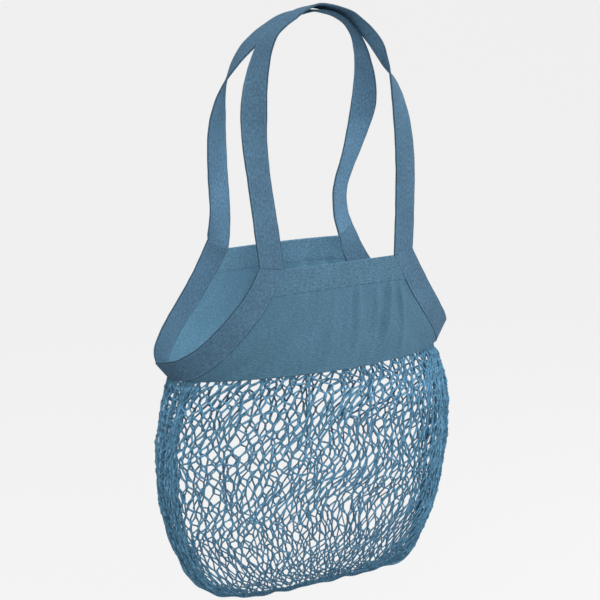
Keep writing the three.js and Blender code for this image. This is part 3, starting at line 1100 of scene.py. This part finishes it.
FRONT_FOLDS = (
    Fold(0.1, 0.16, 0.03, 1.2 * MM), Fold(0.24, 0.24, 0.026, 1.0 * MM), Fold(0.34, 0.35, 0.014, 0.8 * MM),
    Fold(0.46, 0.43, 0.018, 1.2 * MM), Fold(0.57, 0.5, 0.014, 1.1 * MM), Fold(0.66, 0.53, 0.019, 2.8 * MM),
    Fold(0.82, 0.6, 0.013, 1.7 * MM), Fold(0.955, 0.625, 0.017, 3.8 * MM), Fold(1.02, 0.74, 0.016, 2.4 * MM),
)
BACK_FOLDS = (
    Fold(0.12, 0.18, 0.035, 1.4 * MM), Fold(0.3, 0.31, 0.03, 1.0 * MM), Fold(0.5, 0.52, 0.035, 1.2 * MM),
    Fold(0.72, 0.7, 0.03, 1.3 * MM), Fold(0.88, 0.84, 0.03, 1.5 * MM),
)


@dataclass
class Cloth:
    """A strip of the yoke's form between two heights, with two faces and rounded edges."""

    name: str
    node: str
    face: Face
    top: float
    bottom: float
    thickness: float
    folds: tuple[Fold, ...]
    rows: int
    stitch_heights: tuple[float, ...]
    columns: int = 150
    seam_depth: float = 0.2 * MM
    seam_width: float = 0.7 * MM
    ease: float = 0.35 * MM
    folds_from: float = 0.12
    folds_grow: float = 0.24
    stitching: Stitching = field(default_factory=Stitching)

    def surface(self, across: Grid, height: Grid) -> tuple[Grid, Grid]:
        """The cloth's middle surface and its normals, folds included.

        A fold is a bell across the cloth whose line runs from its top place to its bottom one, and
        it grows with the depth below the band. The normals come from the steps between neighbours.

        Args:
            across: Shares across, of shape (n,).
            height: Shares of the yoke's height, of shape (m,).

        Returns:
            Points and unit normals of shape (n, m, 3).
        """
        base = FORM.yoke_point(self.face, across, height)
        outward = self.normals(base)
        share, level = across[:, None], height[None]
        apart = (2 * share - 1) ** 2
        push = np.zeros((len(across), len(height)))
        for fold in self.folds:
            line = lerp(fold.top, fold.bottom, level)
            push += fold.height * bell(share - line, fold.width)
        push += self.ease * np.sin(share * 47 + level * 5) * np.sin(level * 9 + share * 11)
        grown = smooth((level - self.folds_from) / self.folds_grow) * (1 - apart**4)
        points = base + outward * (push * grown)[..., None]
        return points, self.normals(points)

    def normals(self, points: Grid) -> Grid:
        """Unit normals of a grid of points, outwards from the bag.

        Args:
            points: Points of shape (n, m, 3), across and then down.

        Returns:
            The normals, in the same shape.
        """
        over, down = np.gradient(points, axis=(0, 1))
        out = unit(np.cross(over, down))
        return turned(out, out[..., 1] * self.face.value)

    def shape(self) -> Shape:
        """The cloth's mesh: a loop down the outside, round the edge and up the inside, at each column.

        The columns stand closer towards both sides, and each seam is a narrow dent.

        Returns:
            The cloth, without its stitches.
        """
        across = (1 - np.cos(np.linspace(0, 1, self.columns + 1) * np.pi)) / 2
        radius = self.thickness / 2
        edge = np.array([0.0, 0.03, 0.12, 0.3, 0.6, 1.0]) * self.thickness / 2
        total = (self.bottom - self.top) * FORM.yoke_height
        inner = np.linspace(radius, total - radius, self.rows)[1:-1]
        depth = np.concatenate([edge, inner, total - edge[::-1]])
        height = self.top + depth / FORM.yoke_height
        points, out = self.surface(across, height)
        near = np.minimum(depth, total - depth) / radius
        half = radius * np.sqrt(np.clip(1 - np.clip(1 - near, 0, 1) ** 2, 0, 1))
        for level in self.stitch_heights:
            half = half - self.seam_depth * bell((height - level) * FORM.yoke_height, self.seam_width)
        offset = out * half[None, :, None]
        rings = np.concatenate([points + offset, (points - offset)[:, ::-1]], axis=1)
        run = travelled(points[:, len(height) // 2][None])
        # The inner face's map lies past INNER_SIDE, where the weave paints it lighter: partly a paler wrong
        # side, partly painted light.
        girth = np.concatenate([depth, INNER_SIDE + depth[::-1], [0.0]])
        return sweep(rings[None], run, girth)

    def stitches(self) -> Shape:
        """Rows of stitches across the cloth, on both faces.

        Returns:
            The stitches as one shape.
        """
        across = np.linspace(0.01, 0.99, 200)
        rows = []
        for level in self.stitch_heights:
            near = level + np.array([-0.01, 0.0, 0.01])
            points, out = (grid[:, 1] for grid in self.surface(across, near))
            for face in BOTH[::-1]:
                lift = (self.thickness / 2 - self.seam_depth) * face
                rows.append(self.stitching.row(points + out * lift, out * face))
        return join(rows)

    def area(self) -> float:
        """The area of the cloth's middle surface, in square metres.

        Returns:
            The sum of its small squares' areas.
        """
        points, _ = self.surface(np.linspace(0, 1, 80), np.linspace(self.top, self.bottom, 40))
        over, down = points[1:, :-1] - points[:-1, :-1], points[:-1, 1:] - points[:-1, :-1]
        return float(np.linalg.norm(np.cross(over, down), axis=-1).sum())

    def build(self, cloth: Material, thread: Material) -> Object:
        """Makes the cloth and its stitches.

        Args:
            cloth: The cloth's finish.
            thread: The stitches' finish.

        Returns:
            The cloth's piece.
        """
        made = piece(self.name, self.shape(), cloth, Slot.CLOTH, self.node)
        piece(f"{self.name}_stitches", self.stitches(), thread, Slot.CLOTH)
        return made


@dataclass
class Yoke:
    """The two cotton panels and the folded bands along the mouth."""

    band_depth: float = 27 * MM
    band_thickness: float = 2 * MM
    cloth_thickness: float = 1.1 * MM
    tucked: float = 4 * MM
    seam_inset: float = 2.2 * MM
    panel_flat: tuple[float, float] = (0.37, 0.125)
    band_flat: tuple[float, float] = (0.2, 0.031)

    def build(self, cloth: Material, band: Material, thread: Material) -> None:
        """Makes the panels and the bands, and logs the area of each.

        Args:
            cloth: The panels' finish.
            band: The bands' finish.
            thread: The stitches' finish.
        """
        band_end = self.band_depth / FORM.yoke_height
        start = band_end - self.tucked / FORM.yoke_height
        row = self.seam_inset / FORM.yoke_height
        for face, side, folds in ((Face.FRONT, "front", FRONT_FOLDS), (Face.BACK, "back", BACK_FOLDS)):
            name = f"yoke_{side}"
            sewn = (1 - 1.3 * row, 1 - 2.4 * row)
            panel = Cloth(f"{name}_cloth", name, face, start, 1.0, self.cloth_thickness, folds, 90, sewn)
            name = f"hem_band_{side}"
            sewn = (band_end - row,)
            hem = Cloth(f"{name}_cloth", name, face, 0.0, band_end, self.band_thickness, folds, 34, sewn)
            made_hem = hem.build(band, thread)
            made_panel = panel.build(cloth, thread)
            log.info("yoke %s area %.4f, band area %.4f", side, panel.area(), hem.area())
            panel.area()
            hem.area()


# The net


@dataclass(frozen=True)
class NetFold:
    """A place round the net where the columns fall close together, between two depths."""

    share: float
    top: float
    bottom: float
    width: float
    closeness: float
    depth: float


NET_FOLDS = (
    NetFold(0.2, -0.1, 0.26, 0.017, 0.8, 3.0 * MM),
    NetFold(0.258, -0.1, 0.13, 0.016, 0.7, 2.5 * MM),
    NetFold(0.292, 0.03, 0.28, 0.016, 0.7, 2.5 * MM),
    NetFold(0.36, -0.1, 0.2, 0.018, 0.6, 2.5 * MM),
    NetFold(0.215, 0.27, 0.5, 0.016, 0.6, 2.5 * MM),
    NetFold(0.285, 0.46, 0.74, 0.018, 0.65, 2.5 * MM),
    NetFold(0.14, 0.5, 0.95, 0.02, 0.5, 2.5 * MM),
    NetFold(0.61, -0.1, 0.3, 0.018, 0.7, 3.0 * MM),
    NetFold(0.69, 0.2, 0.55, 0.018, 0.6, 2.5 * MM),
    NetFold(0.76, -0.1, 0.25, 0.018, 0.75, 3.0 * MM),
    NetFold(0.83, 0.35, 0.8, 0.02, 0.6, 2.5 * MM),
    NetFold(0.9, -0.1, 0.3, 0.018, 0.6, 2.5 * MM),
)


LEFT_GATHER = Table(
    ("along", "reach", "spacing", "forward", "pleat"),
    (
        (0.0, 0.088, 0.12, 0.034, 2.4), (0.1, 0.088, 0.08, 0.028, 3.6),
        (0.3, 0.09, 0.09, 0.022, 3.4), (0.6, 0.095, 0.1, 0.014, 2.4),
        (0.85, 0.095, 0.1, 0.012, 1.4), (1.0, 0.085, 0.12, 0.01, 0.8),
    ),
)
RIGHT_GATHER = Table(
    ("along", "reach", "spacing", "forward", "pleat"),
    (
        (0.0, 0.085, 0.2, 0.036, 2.6), (0.12, 0.082, 0.16, 0.038, 3.2),
        (0.35, 0.085, 0.13, 0.03, 3.0), (0.6, 0.09, 0.12, 0.018, 2.4),
        (0.85, 0.085, 0.1, 0.012, 1.3), (1.0, 0.08, 0.12, 0.004, 0.7),
    ),
)
CORD_RADIUS = Table(("along", "radius"), ((0.0, 1.16), (0.25, 1.14), (0.5, 1.0), (0.8, 0.82), (1.0, 0.8)))


@dataclass
class NetPouch:
    """A knotted net of zigzag cords that touch their neighbours by turns, gathered at the corners."""

    columns: int = 128
    rows: int = 28
    segments: int = 4
    knot: float = 1.3
    seed: int = 7
    jitter: float = 0.18
    off_surface: float = 0.45 * MM
    uneven: float = 0.14
    pull: float = 0.34
    slip: float = 0.3
    gather_ease: float = 0.04
    forward_reach: float = 0.11
    lean: float = 0.006
    crowd: float = 0.03
    tuck_in: float = 1.3 * MM
    tuck_up: float = 2.2 * MM
    row_marks: tuple[int, ...] = (0, 2, 5, 14, 23, 25)
    row_steps: tuple[float, ...] = (0.55, 0.66, 0.84, 0.98, 1.16, 0.4)
    table_rows: int = 241
    table_columns: int = 1440

    def __post_init__(self) -> None:
        """Works out the net's surface at even steps round each ring and down its front."""
        fine = np.linspace(0, 1, 2881)
        along = np.linspace(0, 1, 481)
        front = FORM.net_point(np.full_like(along, 0.25), along)
        run = travelled(front)
        along = np.interp(np.linspace(0, run[-1], self.table_rows), run, along)
        rings = FORM.net_point(fine[None], along[:, None])
        length = travelled(rings)
        even = np.linspace(0, 1, self.table_columns + 1)
        around = np.stack([np.interp(even * row[-1], row, fine) for row in length])
        self.surface = FORM.net_point(around, along[:, None])
        over = np.roll(self.surface[:, :-1], -1, 1) - np.roll(self.surface[:, :-1], 1, 1)
        over = np.concatenate([over, over[:, :1]], axis=1)
        outward = unit(np.cross(np.gradient(self.surface, axis=0), over))
        self.outward = turned(outward, -outward[self.table_rows // 2, self.table_columns // 4, 1])
        self.waves = np.random.default_rng(self.seed).random((12, 3))
        steps = np.interp(np.arange(self.rows), self.row_marks, self.row_steps)
        self.depths = np.concatenate([[0.0], np.cumsum(steps)]) / steps.sum()

    def gathered(self, away: Grid, reach: Grid, spacing: Grid) -> Grid:
        """How far from a side corner the columns come to lie.

        Within the reach the columns stand at a part of their full spacing, which then eases out in
        a straight line. The result is the sum of the spacing so far, scaled to end where it did.

        Args:
            away: Distances from the corner, as shares of the ring, up to a quarter.
            reach: How far the close columns reach, of the same shape.
            spacing: The part of their full spacing that they keep there.

        Returns:
            The distances after the gathering.
        """
        ease, missing = self.gather_ease, 1 - spacing
        beyond = np.clip(away - reach, 0, ease)
        run = spacing * away + missing * (beyond**2 / (2 * ease) + np.maximum(away - reach - ease, 0))
        return run / (0.25 - missing * (reach + ease / 2)) * 0.25

    def look_up(self, table: Grid, share: Grid, depth: Grid) -> Grid:
        """A table's value at shares round and down, between its four nearest entries.

        Args:
            table: Values of shape (rows, columns + 1, 3).
            share: Shares of the way round.
            depth: Shares of the way down.

        Returns:
            The values, with three numbers for each share.
        """
        x = np.mod(share, 1.0) * self.table_columns
        y = np.clip(depth, 0, 1) * (self.table_rows - 1)
        i = np.minimum(y.astype(int), self.table_rows - 2)
        j = np.minimum(x.astype(int), self.table_columns - 1)
        fy, fx = (y - i)[..., None], (x - j)[..., None]
        upper = lerp(table[i, j], table[i, j + 1], fx)
        lower = lerp(table[i + 1, j], table[i + 1, j + 1], fx)
        return lerp(upper, lower, fy)

    def place(self, column: Grid, row: Grid) -> tuple[Grid, Grid]:
        """Where a place of the net lies in space.

        Slow waves pull the meshes about, and the front leans as it falls. The columns are drawn
        together at the side corners and in the folds, and stand in pleats there. The top row is
        tucked behind the yoke.

        Args:
            column: Columns round the net, from the left corner.
            row: Rows down from the yoke.

        Returns:
            The points, and the outward directions there.
        """
        u = column / self.columns
        v = np.interp(row, np.arange(self.rows + 1), self.depths)
        inner = np.clip(np.minimum(v / 0.06, (1 - v) / 0.05), 0, 1)
        pull, slip = np.zeros_like(u), np.zeros_like(u)
        for k, (a, b, c) in enumerate(self.waves):
            turns, falls = 2 + 2 * k, 0.4 + 3 * b
            size = (0.5 + c) / (1 + 0.3 * k)
            pull += self.pull * size * ripple(turns * u + falls * v + a)
            slip += self.slip * size * ripple(turns * u - falls * v + c)
        share = u + pull * inner / self.columns
        share = share - self.lean * smooth(v / 0.6) * ripple(np.clip(u, 0, 0.5)) ** 2
        share = share + self.crowd * (1.9 - 1.7 * v) * ripple(share)
        corner = np.round(share * 2) / 2
        away = np.abs(share - corner)
        left = corner % 1 == 0
        reach, spacing, forward, pleats = (
            np.where(left, LEFT_GATHER.read(key, v), RIGHT_GATHER.read(key, v))
            for key in ("reach", "spacing", "forward", "pleat")
        )
        near = 1 - smooth((away - reach) / self.gather_ease)
        drawn = corner + np.sign(share - corner) * self.gathered(away, reach, spacing)
        drawn = drawn + forward * np.where(left, 1.0, -1.0) * bell(away, self.forward_reach)
        crease = np.zeros_like(u)
        for fold in NET_FOLDS:
            beside = np.mod(drawn - fold.share + 0.5, 1.0) - 0.5
            span = fold.bottom - fold.top
            window = smooth((v - fold.top) / (0.3 * span)) * smooth((fold.bottom - v) / (0.4 * span))
            strength = bell(beside, fold.width) * window
            drawn = drawn - beside * fold.closeness * strength
            crease += fold.depth * strength * ripple(column, 2.9)
        depth = v + slip * inner / self.rows * 0.6
        points = self.look_up(self.surface, drawn, depth)
        out = unit(self.look_up(self.outward, drawn, depth))
        beside = (share - corner) * self.columns
        pleat = ripple(beside, 4.3, 2 * v) + 0.6 * ripple(beside, 2.6, 5 * v) - 0.5
        swell = 1.4 * MM * ripple(4 * u + 0.8 * v) + 0.9 * MM * ripple(9 * u - 1.7 * v)
        tuck = np.clip(1 - row / 0.5, 0, 1)
        raised = pleats * MM * near * pleat * smooth(v / 0.04) * smooth((1 - v) / 0.05)
        lift = raised + (swell + crease) * inner - self.tuck_in * tuck
        points = points + out * lift[..., None]
        points[..., 2] += self.tuck_up * tuck
        return points, out

    def cords(self, first: int, last: int) -> Shape:
        """The zigzag cords from the first column up to the last.

        A cord swings half a column to one side and back on every second row. It runs straight down
        where it meets its neighbour, and is thicker there, as a knot.

        Args:
            first: The first column.
            last: The column after the last.

        Returns:
            The cords as one shape.
        """
        rng = np.random.default_rng(self.seed + 1)
        rows = np.arange(self.rows + 1)
        size = (self.rows + 1, self.columns)
        shift_c = rng.normal(0, self.jitter, size).clip(-0.3, 0.3)
        shift_r = rng.normal(0, self.jitter * 1.3, size).clip(-0.36, 0.36)
        shift_r[[0, -1]] = 0
        shift_n = rng.normal(0, self.off_surface, size)
        odd = rows % 2
        column = np.arange(first, last)
        index = np.concatenate([np.repeat(column[:, None], self.rows + 1, 1), column[:, None] - odd[None]])
        base = index + 0.5 * odd[None]
        wrapped = np.mod(index, self.columns)
        knot_c = base + shift_c[rows[None], wrapped]
        knot_r = rows[None] + shift_r[rows[None], wrapped]
        knot_n = shift_n[rows[None], wrapped]
        t = np.arange(self.segments) / self.segments
        swing = smooth((t - 0.1) / 0.8)

        def between(knots: Grid, weights: Grid) -> Grid:
            """Values along the cords, from one knot to the next."""
            inner = knots[:, :-1, None] + (knots[:, 1:] - knots[:, :-1])[:, :, None] * weights
            return np.concatenate([inner.reshape(len(knots), -1), knots[:, -1:]], axis=1)

        c, r, n = between(knot_c, swing), between(knot_r, t), between(knot_n, t)
        points, out = self.place(c, r)
        side = np.where(np.arange(len(index)) < len(column), 1.0, -1.0)[:, None]
        stations = np.arange(c.shape[1]) % self.segments
        at_knot = np.where(stations == 0, 1.0, 0.0)[None]
        lumps = 1 + self.uneven * rng.normal(0, 1, c.shape).clip(-1.6, 1.6)
        depth = np.interp(r, rows, self.depths)
        radii = CORD_RADIUS.read("radius", depth) * MM * lumps * lerp(1.0, self.knot, at_knot)
        over = side * lerp(0.25 * MM, 0.42 * MM, at_knot) + n
        points = points + out * over[..., None]
        return cords(points, radii, out)

    def build(self, yarn: Material) -> None:
        """Makes the net's front and back halves.

        Args:
            yarn: The cords' finish.
        """
        half = self.columns // 2
        piece("net_front_cords", self.cords(0, half), yarn, Slot.NET, "net_pouch")
        piece("net_back_cords", self.cords(half, self.columns), yarn, Slot.NET, "net_pouch")


@dataclass
class BottomSeam:
    """The sewn roll along the net's bottom, wrapped in thread."""

    height: float = 4.2 * MM
    thickness: float = 3.4 * MM
    drop: float = 2.6 * MM
    scallop: float = 1.3 * MM
    left_top: float = 0.78
    right_top: float = 0.93
    steps: int = 320
    turns: int = 150
    sides: int = 12
    smoothing: int = 30
    thread_radius: float = 0.38 * MM
    thread_off: float = 0.15 * MM

    def line(self, count: int) -> Grid:
        """Evenly spaced points of the roll: up each corner of the net, and under its lowest ring.

        The line is smoothed over its corners, moved outwards in its own plane by the drop, and
        scalloped by two slow waves.

        Args:
            count: How many points to give.

        Returns:
            The points, of shape (count, 3).
        """
        left, right = np.linspace(self.left_top, 1, 60), np.linspace(1, self.right_top, 60)
        around = np.concatenate([np.zeros(60), np.linspace(0, 0.5, 600), np.full(60, 0.5)])
        along = np.concatenate([left, np.ones(600), right])
        ring = FORM.net_point(around, along)
        run = travelled(ring)
        ring = at_run(np.linspace(0, run[-1], 600), run, ring)
        pad = self.smoothing
        wide = np.hanning(2 * pad + 1) / np.hanning(2 * pad + 1).sum()
        before, after = 2 * ring[:1] - ring[pad:0:-1], 2 * ring[-1:] - ring[-2 : -pad - 2 : -1]
        padded = np.concatenate([before, ring, after])
        ring = np.stack([np.convolve(padded[:, k], wide, "valid") for k in range(3)], axis=-1)
        ring[:, 1] = 0
        outward = self.upward(ring)
        outward = turned(outward, -outward[300, 2])
        run = travelled(ring)
        wave = np.abs(ripple(run, 0.094, 0.4)) * 1.3 + 0.5 * ripple(run, 0.029) - 0.8
        ring = ring + outward * (self.drop + self.scallop * wave)[:, None]
        run = travelled(ring)
        return at_run(np.linspace(0, run[-1], count), run, ring)

    def upward(self, line: Grid) -> Grid:
        """The directions square to a line, in the net's own plane."""
        return np.cross(SQUARE_TO_NET, unit(np.gradient(line, axis=0)))

    def roll(self) -> Shape:
        """The roll: flattened rings with lumps where the net is caught, narrowed at both ends.

        Returns:
            The roll, without its thread.
        """
        line = self.line(self.steps)
        run = travelled(line)
        lumps = 1 + 0.1 * ripple(run, 0.0065) + 0.07 * ripple(run, 0.0115, 1)
        ends = np.clip(np.minimum(run, run[-1] - run) / (5 * MM), 0.15, 1) ** 0.5
        up = self.upward(line)
        up = turned(up, up[:, 2])
        angle = np.arange(self.sides) / self.sides * TURN
        size = (lumps * ends)[:, None, None]
        rings = (
            line[:, None]
            + up[:, None] * (np.cos(angle) * self.height / 2)[:, None] * size
            + SQUARE_TO_NET * (np.sin(angle) * self.thickness / 2)[:, None] * size
        )
        return sweep(rings[None], run[None], np.linspace(0, 11 * MM, self.sides + 1))

    def wrap(self) -> Shape:
        """The thread round the roll: a slanted coil one radius outside it.

        Returns:
            The thread's coil.
        """
        line = self.line(self.turns * self.sides)
        up = self.upward(line)
        up = turned(up, up[:, 2])
        angle = np.linspace(0, self.turns * TURN, len(line))[:, None]
        out = up * np.cos(angle) * (self.height / 2 + self.thread_off)
        out = out + SQUARE_TO_NET * np.sin(angle) * (self.thickness / 2 + self.thread_off)
        return cords((line + out)[None], np.full((1, len(line)), self.thread_radius), unit(out)[None])

    def build(self, yarn: Material) -> None:
        """Makes the roll and its thread."""
        piece("bottom_seam_roll", self.roll(), yarn, Slot.NET, "bottom_seam")
        piece("bottom_seam_thread", self.wrap(), yarn, Slot.NET)


# The studio


@dataclass(frozen=True)
class Studio:
    """A pale paper bowl, soft lamps and the camera."""

    floor: float = -1.15
    flat_radius: float = 3.5
    wall_radius: float = 6.0
    aim: tuple[float, float, float] = (0.0, 0.0, -0.314)
    right: tuple[float, float, float] = (0.8634, -0.5045, 0.0)
    up: tuple[float, float, float] = (0.1203, 0.2059, 0.9711)
    back: tuple[float, float, float] = (-0.49, -0.8385, 0.2385)
    distance: float = 2.0
    sideways: float = 0.011
    lens: float = 109.1
    world_light: float = 0.9
    lamps: tuple[tuple[str, tuple[float, float, float], float, float], ...] = (
        ("key_lamp", (-1.2, -2.2, 1.0), 1.0, 46.0),
        ("fill_lamp", (2.6, -0.9, 0.3), 0.5, 60.0),
        ("top_lamp", (-0.5, -0.9, 2.4), 1.2, 36.0),
    )

    def paper(self) -> None:
        """The floor, which turns up all round: a quarter circle from flat to upright."""
        bend = self.wall_radius - self.flat_radius
        turn = np.linspace(0, np.pi / 2, 16)
        radius = np.concatenate([[0.05, 1.5], self.flat_radius + bend * np.sin(turn), [self.wall_radius]])
        height = np.concatenate([[0.0, 0.0], bend * (1 - np.cos(turn)), [bend + 3.0]]) + self.floor
        angle = np.linspace(0, TURN, 97)[:-1]
        points = stack(radius[:, None] * np.cos(angle), radius[:, None] * np.sin(angle), height[:, None])
        rows, columns = points.shape[:2]
        i, j = np.meshgrid(np.arange(rows - 1), np.arange(columns), indexing="ij")
        k = (j + 1) % columns
        faces = np.stack([i * columns + j, i * columns + k, (i + 1) * columns + k, (i + 1) * columns + j], -1)
        faces = faces.reshape(-1, 4).tolist() + [list(range(columns))]
        add_mesh("studio_floor", points.reshape(-1, 3), faces, Paper().build())

    def lamp(self, name: str, place: tuple[float, float, float], size: float, power: float) -> None:
        """A square soft lamp that looks at the bag.

        Args:
            name: The lamp's name.
            place: Where it stands, in metres.
            size: The length of its side, in metres.
            power: Its power, in watts.
        """
        data = bpy.data.lights.new(name, "AREA")
        data.shape, data.size, data.energy = "SQUARE", size, power
        lamp = add(name, data)
        lamp.location = place
        lamp.rotation_mode = "QUATERNION"
        lamp.rotation_quaternion = (Vector(self.aim) - Vector(place)).to_track_quat("-Z", "Y")

    def camera(self) -> None:
        """The camera, at the photograph's angle and distance."""
        data = bpy.data.cameras.new("camera")
        data.lens, data.sensor_width = self.lens, 36.0
        camera = add("camera", data)
        right, up, back = (Vector(v).normalized() for v in (self.right, self.up, self.back))
        place = Vector(self.aim) - right * self.sideways + back * self.distance
        turn = Matrix((right, up, back)).transposed()
        camera.matrix_world = Matrix.Translation(place) @ turn.to_4x4()
        bpy.context.scene.camera = camera

    def build(self) -> None:
        """Makes the studio."""
        self.paper()
        world = bpy.data.worlds.new("studio_light")
        world.use_nodes = True
        background = world.node_tree.nodes["Background"]
        background.inputs[0].default_value = (1.0, 1.0, 1.0, 1.0)
        background.inputs[1].default_value = self.world_light
        bpy.context.scene.world = world
        bpy.context.scene.view_settings.view_transform = "Standard"
        for lamp in self.lamps:
            self.lamp(*lamp)
        self.camera()


def main() -> None:
    """Builds the bag piece by piece, then the studio round it."""
    tape, cloth, band = TAPE_WEAVE.build(), CLOTH_WEAVE.build(), BAND_WEAVE.build()
    yarn, thread = NET_YARN.build(), THREAD.build()
    Handles().build(tape, thread)
    Bindings().build(BINDING_WEAVE.build(), thread)
    Yoke().build(cloth, band, thread)
    NetPouch().build(yarn)
    BottomSeam().build(yarn)
    Studio().build()


if __name__ == "__main__":
    logging.basicConfig(level=logging.INFO, format="%(name)s: %(message)s")
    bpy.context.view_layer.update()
    main()
